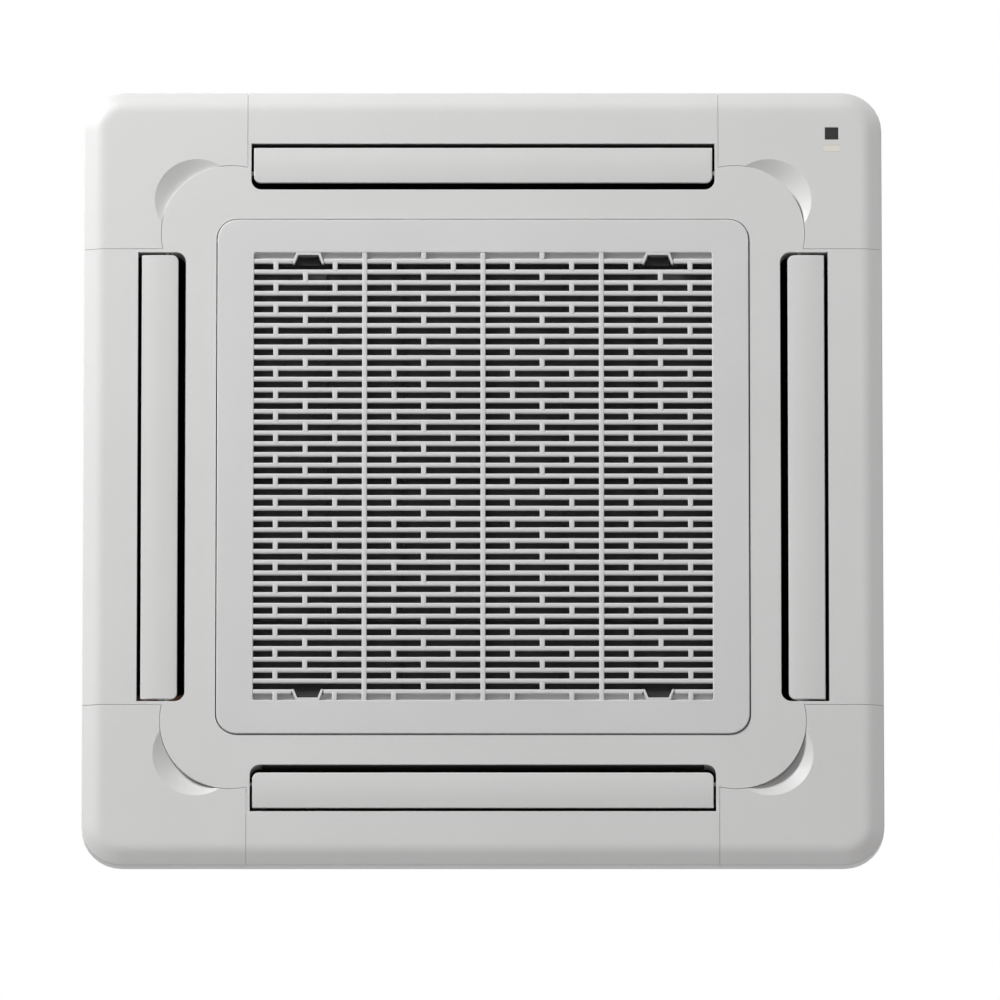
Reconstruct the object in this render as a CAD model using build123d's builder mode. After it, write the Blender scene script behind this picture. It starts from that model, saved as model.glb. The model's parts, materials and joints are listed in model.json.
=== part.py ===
"""Ceiling cassette air conditioner: four-way outlet panel, intake grille, fan, coil and casing.

Millimetres. The unit is drawn as it hangs: +Z up, with the origin midway between the four hanger
slots. Heights in the code are measured up from the visible face of the panel.
Right is +X, left -X, front +Y (the grille's latch side) and rear -Y (the grille's hinge side).
"""

from build123d import *
import os
from math import atan2, cos, degrees, hypot, radians, sin, sqrt, tan

os.makedirs("parts", exist_ok=True)

# ---------------------------------------------------------------- driving dimensions
# Clearances and walls
FIT = 0.06  # radial play of a pin or shaft in its bore
GAP = 0.3  # play between a loose piece and its seat
SCREW_PLAY = 0.25  # radial play of a screw in a plain hole
SHEET = 1.0  # steel sheet of the casing

# Panel
PANEL_SIDE = 950
PANEL_CORNER = 48
PANEL_DEPTH = 25  # face down to the ceiling
PANEL_SKIN = 3
BEVEL_WIDTH = 19
BEVEL_HEIGHT = 6
CEILING_DROP = 150  # hanger slots down to the ceiling
SEAL_THICKNESS = 5
INLET_SEAL = 12

# Air outlets
SLOT_MARGIN = 36.25  # land between the grille opening and a slot
SLOT_WIDTH = 57
SLOT_LENGTH = 552
SLOT_ROUND = 12
SLOT_WALL = 2.5
SLOT_END_WALL = 4

# Vanes and their stepping motors
VANE_WIDTH = 43.5
VANE_END_GAP = 3
VANE_OUTER_GAP = 4.5
VANE_THICKNESS = 3.2
VANE_RISE = 1.4  # lowest point of the closed vane above the face
VANE_CROWN = 1.3
VANE_PIVOT_IN = 13.5  # pivot from the vane's inner edge
VANE_PIVOT_HEIGHT = 9
VANE_EAR = 6
VANE_ROUND = 8  # its two inner corners
PIN_RADIUS = 2.5
MOTOR_RADIUS = 12
MOTOR_LENGTH = 18
MOTOR_OFFSET = 7  # output shaft below the middle of the can
MOTOR_EAR_SPAN = 42
MOTOR_EAR_HEIGHT = 8
MOTOR_FLANGE = 1.2
MOTOR_BOSS_RADIUS = 4.5
BUSH_FLANGE_RADIUS = 5.5

# Corner covers and their finger scoops
COVER_SEAM = 0.4
COVER_DEPTH = 13
SCOOP_SETBACK = 24  # middle of the scoop beyond the slot's end, along X and Y
SCOOP_RADIUS = 83
SCOOP_REACH = 25
SCOOP_DEPTH = 9
SCOOP_SPREAD = 37  # degrees each side of the diagonal
PEG_RADIUS = 2.5
PEG_EDGE, PEG_SEAM = 28, 25  # outer pegs from the rim, end pegs from the seam
POCKET_TOP = 22

# Receiver and lamp window
WINDOW_SIDE_EDGE, WINDOW_REAR_EDGE = 59.4, 52  # its middle from the panel's two rims
WINDOW_WIDTH, WINDOW_HEIGHT = 16, 15
LAMP_PITCH = 18.5
LAMP_WIDTH, LAMP_HEIGHT = 20, 8
BOARD_LENGTH, BOARD_WIDTH, BOARD_THICKNESS = 36, 44, 1.6
BOARD_LEVEL = 9

# Intake grille
GRILLE_SIDE = 632
GRILLE_CORNER = 24
GRILLE_SEAM = 1.25
GRILLE_PROUD = 2
GRILLE_RIM = 12
GRILLE_SKIN = 3.5
FIELD_X, FIELD_Y = 545, 556
FIELD_DEPTH = 8
GRILLE_ROWS = 42
SLAT = 6
TIE = 6
TIE_UNIT = 35.2  # ties stand on multiples of this
LATCH_X = 208
LATCH_WINDOW_Y = 266.5
LATCH_WINDOW_HEIGHT = 11
LATCH_WINDOW_LONG, LATCH_WINDOW_SHORT = 32, 24
LATCH_WIDTH = 28
LATCH_THICKNESS = 3
LATCH_THUMB = 2.5
THUMB_LEVEL = -1
END_GROOVE = 5  # depth of the first and last rows, which are blind
HINGE_SETBACK = 24.5  # hinge axis from the grille's rear edge
TRUNNION_RADIUS = 2
COLLAR_WALL = 3
COLLAR_LEG = 9  # straight part at each end of a corner piece

# Air filter
FILTER_X, FILTER_Y = 580, 544
FILTER_FRAME = 10
FILTER_DEPTH = 5
FILTER_RIB = 2
FILTER_CELLS = 6
MESH_THICKNESS = 0.6
POST_RADIUS = 4

# Casing
CASING_HEIGHT = 246
CHAMFER_MARGIN = 23.5  # the cut corner clears the slot's corner by this, along X and Y
SEAM = 0.2  # open line between two plates, boards or strips that meet
INSULATION = 8
MOTOR_OPENING_RADIUS = 112
TOP_BEAD = 3
BEAD_CIRCLE, BEAD_WIDTH, BEAD_LENGTH = 130, 8, 240

# Hanger brackets
HANGER_X = 780
HANGER_STANDOFF = 35  # hanger slot beyond the cut corner, along X and Y together
HANGER_SLOT_LENGTH, HANGER_SLOT_WIDTH = 30, 12
BRACKET_SHEET = 2.5
BRACKET_WIDTH = 100
BRACKET_REACH = 48
BRACKET_HEIGHT = 60

# Panel fixing
TAB_HOLE = 20  # panel screw beyond the cut corner, along X and Y
TAB_SHEET = 2
TAB_WIDTH = 60
TAB_REACH = 42
TAB_HEIGHT = 30
PANEL_SCREW_RADIUS = 2.5
PANEL_SCREW_HEAD_RADIUS = 6
PANEL_SCREW_HEAD = 3.5
PANEL_SCREW_TIP = 42

# Drain pan
PAN_HEIGHT = 42
PAN_PLAY = 0.5
PAN_RIM = 8  # between a slot and the pan's outside
DUCT_WALL = 7.5  # between a slot and the trough
PAN_LIP = 10  # between the trough and the opening
PAN_FLOOR = 22
PAN_OPENING_CORNER = 20
PAN_LEDGE = 12
TROUGH_MARGIN = 5  # the trough reaches this far inside the coil
SUMP_X, SUMP_Y = -318, 318
SUMP_RADIUS = 38
SUMP_FLOOR = 14
PLUG_X, PLUG_Y = -330, 330
PLUG_RADIUS = 8
PLUG_FLANGE_RADIUS = 11
PLUG_FLANGE = 1.7

# Coil
COIL_PLAY = 1  # between the coil and the trough's outer side
COIL_THICKNESS = 40
COIL_CORNER = 105
COIL_TOP = 262
COIL_CUT = 210  # the coil stops here on both sides of the piping corner
END_PLATE = 1.5
BEND_TUBE_RADIUS = 4
BEND_PITCH = 21
BEND_ROWS, BEND_FIRST, BEND_STEP = 4, 98, 48
BEND_SPREAD = 9  # tube rows from the middle of the coil

# Piping
PIPE_Y = 250
PIPE_SHIFT = 11  # pipes leave the coil this far inside its middle
GAS_PIPE_RADIUS, GAS_THREAD_RADIUS, GAS_HEX = 7.94, 11.1, 27
GAS_HEIGHT = 100
LIQUID_PIPE_RADIUS, LIQUID_THREAD_RADIUS, LIQUID_HEX = 4.76, 7.94, 19
LIQUID_HEIGHT = 148
PIPE_WALL = 1
PIPE_BEND = 20
UNION_START = 438
UNION_HEX = 12
UNION_THREAD = 18
PIPE_PLATE_Y, PIPE_PLATE_Z = 62, 100
PIPE_PLATE_LEVEL = 122
PIPE_PLATE_LAP = 8
GROMMET_HEIGHT = 215
GROMMET_BORE, GROMMET_RADIUS, GROMMET_FLANGE = 10, 13, 17

# Bell mouth
BELL_SHEET = 2
BELL_PLAY = 2
THROAT_RADIUS = 165
BELL_ROUND = 42
BELL_SCREW_SPREAD = 240
BELL_SCREW_RADIUS, BELL_SCREW_HEAD_RADIUS, BELL_SCREW_HEAD = 2, 4, 2.5
BELL_SCREW_LENGTH = 7

# Control box
BOX_X, BOX_Y, BOX_HEIGHT = 420, 60, 33
BOX_MARGIN = 4  # between the box and the pan opening
BOX_COVER = 1.2
BOX_POST_RADIUS = 4
BOX_POST_INSET = 7
BOX_SCREW_RADIUS, BOX_SCREW_HEAD_RADIUS, BOX_SCREW_HEAD = 1.5, 3, 2
BOX_SCREW_LENGTH = 12
CIRCUIT_X, CIRCUIT_Y = 210, 48
CIRCUIT_DROP = 8
CIRCUIT_CENTRE = -20

# Fan
FAN_RADIUS = 230
FAN_BLADES = 7
FAN_BLADE_INNER = 120
FAN_BLADE_TURN = 1.1  # degrees between the two faces of a blade
FAN_BLADE_LAG = 38  # degrees the blade's tip trails its root
FAN_PLATE_HEIGHT = 232
FAN_WALL = 3
SHROUD_OVERLAP = 5  # how far the shroud reaches over the throat
BLADE_CLEARANCE = 8
SHROUD_GAP = 4
SHROUD_ROUND = 30
SHROUD_WALL = 2.5
SHROUD_ARC = 75
CUP_RADIUS = 78
CUP_FLOOR = 176
HUB_BOSS_RADIUS = 14
HUB_BOSS_BOTTOM = 150
SHAFT_RADIUS = 5
SHAFT_BOTTOM, SHAFT_TOP = 139, 225
COOLING_HOLE = 8
FAN_NUT_HEX, FAN_NUT_HEIGHT = 17, 8

# Fan motor
FAN_MOTOR_RADIUS = 68
FAN_MOTOR_BOTTOM, FAN_MOTOR_TOP = 190, 259
EAR_CIRCLE = 86
EAR_RADIUS = 11
EAR_THICKNESS = 3
MOUNT_RADIUS = 10
STUD_RADIUS = 3
STUD_LENGTH = 29
STUD_NUT_HEX, STUD_NUT_HEIGHT = 10, 5

# Drain pump and float switch
PUMP_RADIUS = 28
PUMP_BOTTOM, PUMP_TOP = 66, 120
VOLUTE_RADIUS, VOLUTE_BOTTOM = 22, 58
INTAKE_RADIUS, INTAKE_BOTTOM, INTAKE_WALL = 16, 47, 1.5
IMPELLER_RADIUS, IMPELLER_BOTTOM, IMPELLER_HEIGHT = 13, 48, 8
IMPELLER_VANE = 1.6
PUMP_SHAFT_TOP = 72
PUMP_PLATE = 2
HOSE_X, HOSE_RADIUS, HOSE_WALL, HOSE_BEND = -268, 10, 2, 14
NOZZLE = 4
HOSE_START, HOSE_HEIGHT = 80, 230
DRAIN_RADIUS, DRAIN_START, DRAIN_END = 16, 421, 460
FLOAT_X = -242
FLOAT_RADIUS, FLOAT_HEIGHT, FLOAT_BOTTOM = 12, 16, 58
FLOAT_TRAVEL = 12
STEM_RADIUS, STEM_COLLAR_RADIUS, STEM_COLLAR = 3, 6, 2

# ---------------------------------------------------------------- values worked out from them
FACE_Z = -(CEILING_DROP + PANEL_DEPTH)
CASING_BOTTOM = PANEL_DEPTH + SEAL_THICKNESS
CASING_TOP = CASING_BOTTOM + CASING_HEIGHT
PAN_TOP = CASING_BOTTOM + PAN_HEIGHT
TROUGH_FLOOR = CASING_BOTTOM + PAN_FLOOR
GRILLE_HALF = GRILLE_SIDE / 2
COLLAR_HALF = GRILLE_HALF + GRILLE_SEAM
SLOT_INNER = COLLAR_HALF + SLOT_MARGIN
SLOT_OUTER = SLOT_INNER + SLOT_WIDTH
SLOT_MIDDLE = SLOT_INNER + SLOT_WIDTH / 2
SLOT_END = SLOT_LENGTH / 2
COVER_START = SLOT_END + SLOT_END_WALL
SCOOP_CENTRE = SLOT_END + SCOOP_SETBACK
WINDOW_X = PANEL_SIDE / 2 - WINDOW_SIDE_EDGE
WINDOW_Y = WINDOW_REAR_EDGE - PANEL_SIDE / 2
LAMP_Y = WINDOW_Y + LAMP_PITCH
VANE_OUTER = SLOT_OUTER - VANE_OUTER_GAP
VANE_INNER = VANE_OUTER - VANE_WIDTH
VANE_PIVOT = VANE_INNER + VANE_PIVOT_IN
GRILLE_TOP = GRILLE_RIM - GRILLE_PROUD
FIELD_TOP = FIELD_DEPTH - GRILLE_PROUD
HINGE_Y = -GRILLE_HALF + HINGE_SETBACK
HINGE_HEIGHT = GRILLE_RIM / 2 - GRILLE_PROUD
CASING_SIDE = 2 * (SLOT_OUTER + PAN_RIM + PAN_PLAY + SHEET)
CASING_CHAMFER = CASING_SIDE - SLOT_OUTER - SLOT_END - CHAMFER_MARGIN
CHAMFER_REACH = (CASING_SIDE - CASING_CHAMFER) / sqrt(2)
FIXING = (CASING_SIDE - CASING_CHAMFER) / 2 + TAB_HOLE
HANGER_Y = 2 * (CASING_SIDE - CASING_CHAMFER + HANGER_STANDOFF) - HANGER_X
TROUGH_OUTER = SLOT_INNER - DUCT_WALL
COIL_OUTER = TROUGH_OUTER - COIL_PLAY
TROUGH_INNER = COIL_OUTER - COIL_THICKNESS - TROUGH_MARGIN
PAN_OPENING = TROUGH_INNER - PAN_LIP  # half width
BELL_HALF = PAN_OPENING - BELL_PLAY
BELL_SCREW = PAN_OPENING - PAN_LEDGE / 2
BOX_CENTRE_Y = PAN_OPENING - BOX_MARGIN - BOX_Y / 2
LEDGE_LEVEL = PAN_TOP - PAN_LEDGE
BELL_LEVEL = LEDGE_LEVEL - BELL_SHEET
THROAT_TOP = BELL_LEVEL + BELL_ROUND
SHROUD_START = THROAT_TOP - SHROUD_OVERLAP
BLADE_START = THROAT_TOP + BLADE_CLEARANCE
BELL_SCREWS = [
    point
    for sx in (-1, 1)
    for sy in (-1, 1)
    for point in (
        (sx * BELL_SCREW, sy * BELL_SCREW_SPREAD),
        (sx * BELL_SCREW_SPREAD, sy * BELL_SCREW),
    )
]
CENTRE_LOW = (Align.CENTER, Align.CENTER, Align.MIN)

CORNERS = {"rear_right": (1, -1), "rear_left": (-1, -1), "front_right": (1, 1), "front_left": (-1, 1)}
SIDES = {"right": 0, "front": 90, "left": 180, "rear": 270}


# ---------------------------------------------------------------- planes and shared outlines
def level(height):
    """Flat plane at a height above the panel's face."""
    return Plane.XY.offset(FACE_Z + height)


def side_plane(angle):
    """Upright plane through the middle: x points out to one side, y points up from the face."""
    outward = Vector(cos(radians(angle)), sin(radians(angle)), 0)
    return Plane(origin=(0, 0, FACE_Z), x_dir=outward, z_dir=outward.cross(Vector(0, 0, 1)))


MERIDIAN = side_plane(0)


def save(builder, name):
    """Label a finished piece and write it."""
    builder.part.label = name
    export_step(builder.part, f"parts/{name}.step")


def octagon(inset):
    """Plan of the casing, drawn in by inset all round."""
    with BuildSketch() as plan:
        side = CASING_SIDE - 2 * inset
        Rectangle(side, side)
        chamfer(plan.vertices(), CASING_CHAMFER - (2 - sqrt(2)) * inset)
    return plan.sketch


def rounded_ring(outer, inner, corner):
    """Square ring with rounded corners, given by its half widths."""
    with BuildSketch() as plan:
        RectangleRounded(2 * outer, 2 * outer, corner)
        RectangleRounded(2 * inner, 2 * inner, corner - (outer - inner), mode=Mode.SUBTRACT)
    return plan.sketch


def slot_plan(margin):
    """Plan of the four outlets, each widened by margin."""
    with BuildSketch() as plan:
        with PolarLocations(SLOT_MIDDLE, 4):
            Rectangle(SLOT_WIDTH + 2 * margin, SLOT_LENGTH + 2 * margin)
        reach = hypot(SLOT_MIDDLE, SLOT_LENGTH / 2 + margin)
        near = [corner for corner in plan.vertices() if hypot(corner.X, corner.Y) < reach]
        fillet(near, SLOT_ROUND + margin)
    return plan.sketch


def panel_blank(depth):
    """The panel's outside: rounded square with a bevelled edge, cut off at a depth."""
    with BuildPart() as blank:
        with BuildSketch(level(0)):
            side = PANEL_SIDE - 2 * BEVEL_WIDTH
            RectangleRounded(side, side, PANEL_CORNER - BEVEL_WIDTH)
        with BuildSketch(level(BEVEL_HEIGHT)):
            RectangleRounded(PANEL_SIDE, PANEL_SIDE, PANEL_CORNER)
        loft()
        with BuildSketch(level(BEVEL_HEIGHT)):
            RectangleRounded(PANEL_SIDE, PANEL_SIDE, PANEL_CORNER)
        extrude(amount=depth - BEVEL_HEIGHT)
    return blank.part


def corner_regions(gap):
    """Plan of the four corner covers, drawn back from their seams by gap."""
    with BuildSketch() as plan:
        start = COVER_START + gap
        Rectangle(PANEL_SIDE, PANEL_SIDE)
        Rectangle(2 * start, PANEL_SIDE, mode=Mode.SUBTRACT)
        Rectangle(PANEL_SIDE, 2 * start, mode=Mode.SUBTRACT)
        with GridLocations(2 * SCOOP_CENTRE, 2 * SCOOP_CENTRE, 2, 2):
            Circle(SCOOP_RADIUS + gap, mode=Mode.SUBTRACT)
    return plan.sketch


def inset_outline(inset):
    """Plan of the panel drawn in by inset."""
    with BuildSketch() as plan:
        side = PANEL_SIDE - 2 * inset
        RectangleRounded(side, side, max(PANEL_CORNER - inset, PANEL_SKIN))
    return plan.sketch


def end_bays():
    """Plan of the room beyond both ends of each outlet: a vane motor at one, a bush at the other."""
    motor_bay, bush_bay = MOTOR_LENGTH + 4, 8
    with BuildSketch() as plan:
        with PolarLocations(0, 4):
            with Locations((VANE_PIVOT, -COVER_START - motor_bay / 2)):
                Rectangle(MOTOR_EAR_SPAN + 2, motor_bay)
            with Locations((VANE_PIVOT, COVER_START + bush_bay / 2)):
                Rectangle(2 * BUSH_FLANGE_RADIUS + 3, bush_bay)
    return plan.sketch


def hinge_holes():
    """Solid to take out of both sides of the grille opening for the grille's trunnions."""
    with BuildPart() as cutter:
        with BuildSketch(Plane.YZ.offset(-COLLAR_HALF - COLLAR_WALL)):
            with Locations((HINGE_Y, FACE_Z + HINGE_HEIGHT)):
                Circle(TRUNNION_RADIUS + FIT)
        extrude(amount=2 * (COLLAR_HALF + COLLAR_WALL))
    return cutter.part


def hex_nut(across_flats, bore):
    """Plan of a nut."""
    with BuildSketch() as plan:
        RegularPolygon(across_flats / 2, 6, major_radius=False)
        Circle(bore, mode=Mode.SUBTRACT)
    return plan.sketch


# ---------------------------------------------------------------- panel frame
SHALLOW = BEVEL_HEIGHT + 2  # the hollow keeps clear of the bevel below this height
BEVEL_LAND = BEVEL_WIDTH + 2

with BuildPart() as panel_frame:
    add(panel_blank(PANEL_DEPTH))
    # grille opening and the four outlets
    with BuildSketch(level(0)):
        RectangleRounded(2 * COLLAR_HALF, 2 * COLLAR_HALF, GRILLE_CORNER + GRILLE_SEAM)
        add(slot_plan(0))
    extrude(amount=PANEL_DEPTH, mode=Mode.SUBTRACT)
    # seat of the inlet collar
    with BuildSketch(level(PANEL_SKIN)):
        seat = 2 * (COLLAR_HALF + COLLAR_WALL + SEAM)
        RectangleRounded(seat, seat, GRILLE_CORNER + SEAM)
    extrude(amount=PANEL_DEPTH, mode=Mode.SUBTRACT)
    # hollow back along each side, between the collar and the duct, and behind the outer edge
    inner_from, inner_to = COLLAR_HALF + COLLAR_WALL, SLOT_INNER - SLOT_WALL
    outer_from = SLOT_OUTER + SLOT_WALL
    with BuildSketch(level(PANEL_SKIN)):
        with PolarLocations((inner_from + inner_to) / 2, 4):
            Rectangle(inner_to - inner_from, SLOT_LENGTH)
        outer_to = PANEL_SIDE / 2 - BEVEL_LAND
        with PolarLocations((outer_from + outer_to) / 2, 4):
            Rectangle(outer_to - outer_from, SLOT_LENGTH)
    extrude(amount=PANEL_DEPTH, mode=Mode.SUBTRACT)
    with BuildSketch(level(SHALLOW)):
        outer_to = PANEL_SIDE / 2 - PANEL_SKIN
        with PolarLocations((outer_from + outer_to) / 2, 4):
            Rectangle(outer_to - outer_from, SLOT_LENGTH)
    extrude(amount=PANEL_DEPTH, mode=Mode.SUBTRACT)
    # hollow back between the grille's corners and the finger scoops
    with BuildSketch(level(PANEL_SKIN)):
        with GridLocations(2 * SCOOP_CENTRE, 2 * SCOOP_CENTRE, 2, 2):
            Circle(SCOOP_RADIUS - PANEL_SKIN)
        Rectangle(2 * COVER_START, PANEL_SIDE, mode=Mode.SUBTRACT)
        Rectangle(PANEL_SIDE, 2 * COVER_START, mode=Mode.SUBTRACT)
    extrude(amount=PANEL_DEPTH, mode=Mode.SUBTRACT)
    # pockets for the corner covers, open below
    with BuildSketch(level(0)):
        add(corner_regions(0))
    extrude(amount=COVER_DEPTH + GAP, mode=Mode.SUBTRACT)
    with BuildSketch(level(COVER_DEPTH)):
        add(corner_regions(0))
        add(inset_outline(PANEL_SKIN), mode=Mode.INTERSECT)
    extrude(amount=POCKET_TOP - COVER_DEPTH, mode=Mode.SUBTRACT)
    # bays for the vane motors and for the idle bushes, and the holes that the vanes turn in
    with BuildSketch(level(PANEL_SKIN + GAP)):
        add(end_bays())
    extrude(amount=PANEL_DEPTH, mode=Mode.SUBTRACT)
    for angle in SIDES.values():
        with BuildSketch(side_plane(angle).offset(-COVER_START)):
            with Locations((VANE_PIVOT, VANE_PIVOT_HEIGHT)):
                Circle(MOTOR_BOSS_RADIUS + FIT)
        extrude(amount=2 * COVER_START, mode=Mode.SUBTRACT)
    # the lower side of the grille's hinge holes
    add(hinge_holes(), mode=Mode.SUBTRACT)
    # panel screw holes, above the corner covers
    with BuildSketch(level(POCKET_TOP)):
        with GridLocations(2 * FIXING, 2 * FIXING, 2, 2):
            Circle(PANEL_SCREW_RADIUS + SCREW_PLAY)
    extrude(amount=PANEL_DEPTH, mode=Mode.SUBTRACT)
save(panel_frame, "panel_frame")

# Collar round the grille opening, on the panel's back: four straight walls and four corner pieces
with BuildPart() as inlet_collar:
    with BuildSketch(level(PANEL_SKIN)):
        side = 2 * (COLLAR_HALF + COLLAR_WALL)
        RectangleRounded(side, side, GRILLE_CORNER)
        side = 2 * COLLAR_HALF
        RectangleRounded(side, side, GRILLE_CORNER + GRILLE_SEAM, mode=Mode.SUBTRACT)
        line = COLLAR_HALF - GRILLE_CORNER - COLLAR_LEG
        with GridLocations(2 * line, 0, 2, 1):
            Rectangle(SEAM, PANEL_SIDE, mode=Mode.SUBTRACT)
        with GridLocations(0, 2 * line, 1, 2):
            Rectangle(PANEL_SIDE, SEAM, mode=Mode.SUBTRACT)
    extrude(amount=PANEL_DEPTH - PANEL_SKIN)
    add(hinge_holes(), mode=Mode.SUBTRACT)
save(inlet_collar, "inlet_collar")

# ---------------------------------------------------------------- corner covers
SCOOP_FAR = SCOOP_RADIUS + SCOOP_REACH
SCOOP_CONE_OFFSET = (SCOOP_FAR**2 - SCOOP_RADIUS**2) / (
    2 * (SCOOP_FAR - SCOOP_RADIUS * cos(radians(SCOOP_SPREAD)))
)
SCOOP_CONE_RADIUS = SCOOP_FAR - SCOOP_CONE_OFFSET
SCOOP_CONE_CENTRE = SCOOP_CENTRE + SCOOP_CONE_OFFSET / sqrt(2)
PEG_OUT, PEG_IN = PANEL_SIDE / 2 - PEG_EDGE, COVER_START + PEG_SEAM
PEGS = ((PEG_IN, PEG_OUT), (PEG_OUT, PEG_IN), (PEG_OUT, PEG_OUT))

for corner_name, (sx, sy) in CORNERS.items():
    with BuildPart() as corner_cover:
        add(panel_blank(COVER_DEPTH))
        with BuildSketch(level(0)):
            add(corner_regions(COVER_SEAM))
            with Locations((sx * PANEL_SIDE / 2, sy * PANEL_SIDE / 2)):
                Rectangle(PANEL_SIDE, PANEL_SIDE, mode=Mode.INTERSECT)
        extrude(amount=COVER_DEPTH, mode=Mode.INTERSECT)
        # hollow back
        for floor, inset in ((PANEL_SKIN, BEVEL_LAND), (SHALLOW, PANEL_SKIN)):
            with BuildSketch(level(floor)):
                add(corner_regions(COVER_SEAM + PANEL_SKIN))
                add(inset_outline(inset), mode=Mode.INTERSECT)
                add(end_bays())
            extrude(amount=COVER_DEPTH, mode=Mode.SUBTRACT)
        # finger scoop: a cone sunk into a thick crescent
        with BuildSketch(level(0)):
            with Locations((sx * SCOOP_CONE_CENTRE, sy * SCOOP_CONE_CENTRE)):
                Circle(SCOOP_CONE_RADIUS + PANEL_SKIN)
            with Locations((sx * SCOOP_CENTRE, sy * SCOOP_CENTRE)):
                Circle(SCOOP_RADIUS + COVER_SEAM, mode=Mode.SUBTRACT)
        extrude(amount=COVER_DEPTH)
        with Locations((sx * SCOOP_CONE_CENTRE, sy * SCOOP_CONE_CENTRE, FACE_Z)):
            Cone(
                SCOOP_CONE_RADIUS,
                SCOOP_CONE_RADIUS - SCOOP_REACH,
                SCOOP_DEPTH,
                align=CENTRE_LOW,
                mode=Mode.SUBTRACT,
            )
        # pegs that plug the cover into the panel
        with BuildSketch(level(0)):
            with Locations([(sx * x, sy * y) for x, y in PEGS]):
                Circle(PEG_RADIUS)
        extrude(amount=POCKET_TOP - GAP)
        with BuildSketch(level(0)):
            Rectangle(2 * PANEL_SIDE, 2 * PANEL_SIDE)
            add(inset_outline(0), mode=Mode.INTERSECT)
        extrude(amount=PANEL_DEPTH, mode=Mode.INTERSECT)
        if corner_name == "rear_right":
            with BuildSketch(level(0)):
                with Locations((WINDOW_X, WINDOW_Y)):
                    Rectangle(WINDOW_WIDTH + 2 * FIT, WINDOW_HEIGHT + 2 * FIT)
                with Locations((WINDOW_X, LAMP_Y)):
                    Rectangle(LAMP_WIDTH + 2 * FIT, LAMP_HEIGHT + 2 * FIT)
            extrude(amount=PANEL_SKIN, mode=Mode.SUBTRACT)
    save(corner_cover, f"corner_cover_{corner_name}")

# Receiver window and lamp lens, each with a flange behind the cover, and the board above them
for lens_name, lens_y, width, height in (
    ("receiver_window", WINDOW_Y, WINDOW_WIDTH, WINDOW_HEIGHT),
    ("indicator_lens", LAMP_Y, LAMP_WIDTH, LAMP_HEIGHT),
):
    with BuildPart() as lens:
        with BuildSketch(level(0)):
            with Locations((WINDOW_X, lens_y)):
                Rectangle(width, height)
        extrude(amount=PANEL_SKIN)
        with BuildSketch(level(PANEL_SKIN)):
            with Locations((WINDOW_X, lens_y)):
                Rectangle(width + 4, height + 4)
        extrude(amount=1.2)
    save(lens, lens_name)

with BuildPart() as display_board:
    board_y = (WINDOW_Y + LAMP_Y) / 2
    with BuildSketch(level(BOARD_LEVEL)):
        with Locations((WINDOW_X, board_y)):
            Rectangle(BOARD_LENGTH, BOARD_WIDTH)
    extrude(amount=BOARD_THICKNESS)
    with BuildSketch(level(BOARD_LEVEL)):
        with Locations((WINDOW_X, board_y)):
            with GridLocations(BOARD_LENGTH - 6, BOARD_WIDTH - 6, 2, 2):
                Circle(2)
    extrude(amount=POCKET_TOP - BOARD_LEVEL)
    # infrared receiver over the window and three lamps over the lens
    with BuildSketch(level(BOARD_LEVEL)):
        with Locations((WINDOW_X, WINDOW_Y)):
            Rectangle(8, 6)
        with Locations((WINDOW_X, LAMP_Y)):
            with GridLocations(6, 0, 3, 1):
                Circle(1.5)
    extrude(amount=-3)
save(display_board, "display_board")

# ---------------------------------------------------------------- vanes
VANE_END = SLOT_END - VANE_END_GAP
MOTOR_CENTRE = VANE_PIVOT_HEIGHT + MOTOR_OFFSET
PIN_REACH = COVER_START + 10

for side_name, angle in SIDES.items():
    side = side_plane(angle)
    with BuildPart() as vane:
        middle = (VANE_INNER + VANE_OUTER) / 2
        with BuildSketch(side.offset(-VANE_END)):
            with BuildLine():
                edge = VANE_RISE + VANE_CROWN
                low = ThreePointArc((VANE_INNER, edge), (middle, VANE_RISE), (VANE_OUTER, edge))
                high = ThreePointArc(
                    (VANE_INNER, edge + VANE_THICKNESS),
                    (middle, VANE_RISE + VANE_THICKNESS),
                    (VANE_OUTER, edge + VANE_THICKNESS / 2),
                )
                Line(low @ 0, high @ 0)
                Line(low @ 1, high @ 1)
            make_face()
        extrude(amount=2 * VANE_END)
        upright = vane.edges().filter_by(Axis.Z)
        fillet(upright.sort_by_distance((0, 0, FACE_Z))[:2], VANE_ROUND)
        # an ear at each end carries the pin
        for start in (-VANE_END, VANE_END - VANE_EAR):
            with BuildSketch(side.offset(start)):
                with BuildLine():
                    Polyline(
                        (VANE_INNER + VANE_ROUND, VANE_RISE + VANE_THICKNESS / 2 + 1),
                        (VANE_PIVOT + 12, VANE_RISE + VANE_THICKNESS / 2),
                        (VANE_PIVOT + 4, VANE_PIVOT_HEIGHT + 4),
                        (VANE_PIVOT - 4, VANE_PIVOT_HEIGHT + 4),
                        close=True,
                    )
                make_face()
            extrude(amount=VANE_EAR)
        # pins, each set on the end of an ear
        with BuildSketch(side.offset(-COVER_START - MOTOR_FLANGE)):
            with Locations((VANE_PIVOT, VANE_PIVOT_HEIGHT)):
                Circle(PIN_RADIUS)
        extrude(amount=COVER_START + MOTOR_FLANGE - VANE_END - FIT)
        with BuildSketch(side.offset(VANE_END + FIT)):
            with Locations((VANE_PIVOT, VANE_PIVOT_HEIGHT)):
                Circle(PIN_RADIUS)
        extrude(amount=PIN_REACH - VANE_END - FIT)
    save(vane, f"vane_{side_name}")

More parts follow.
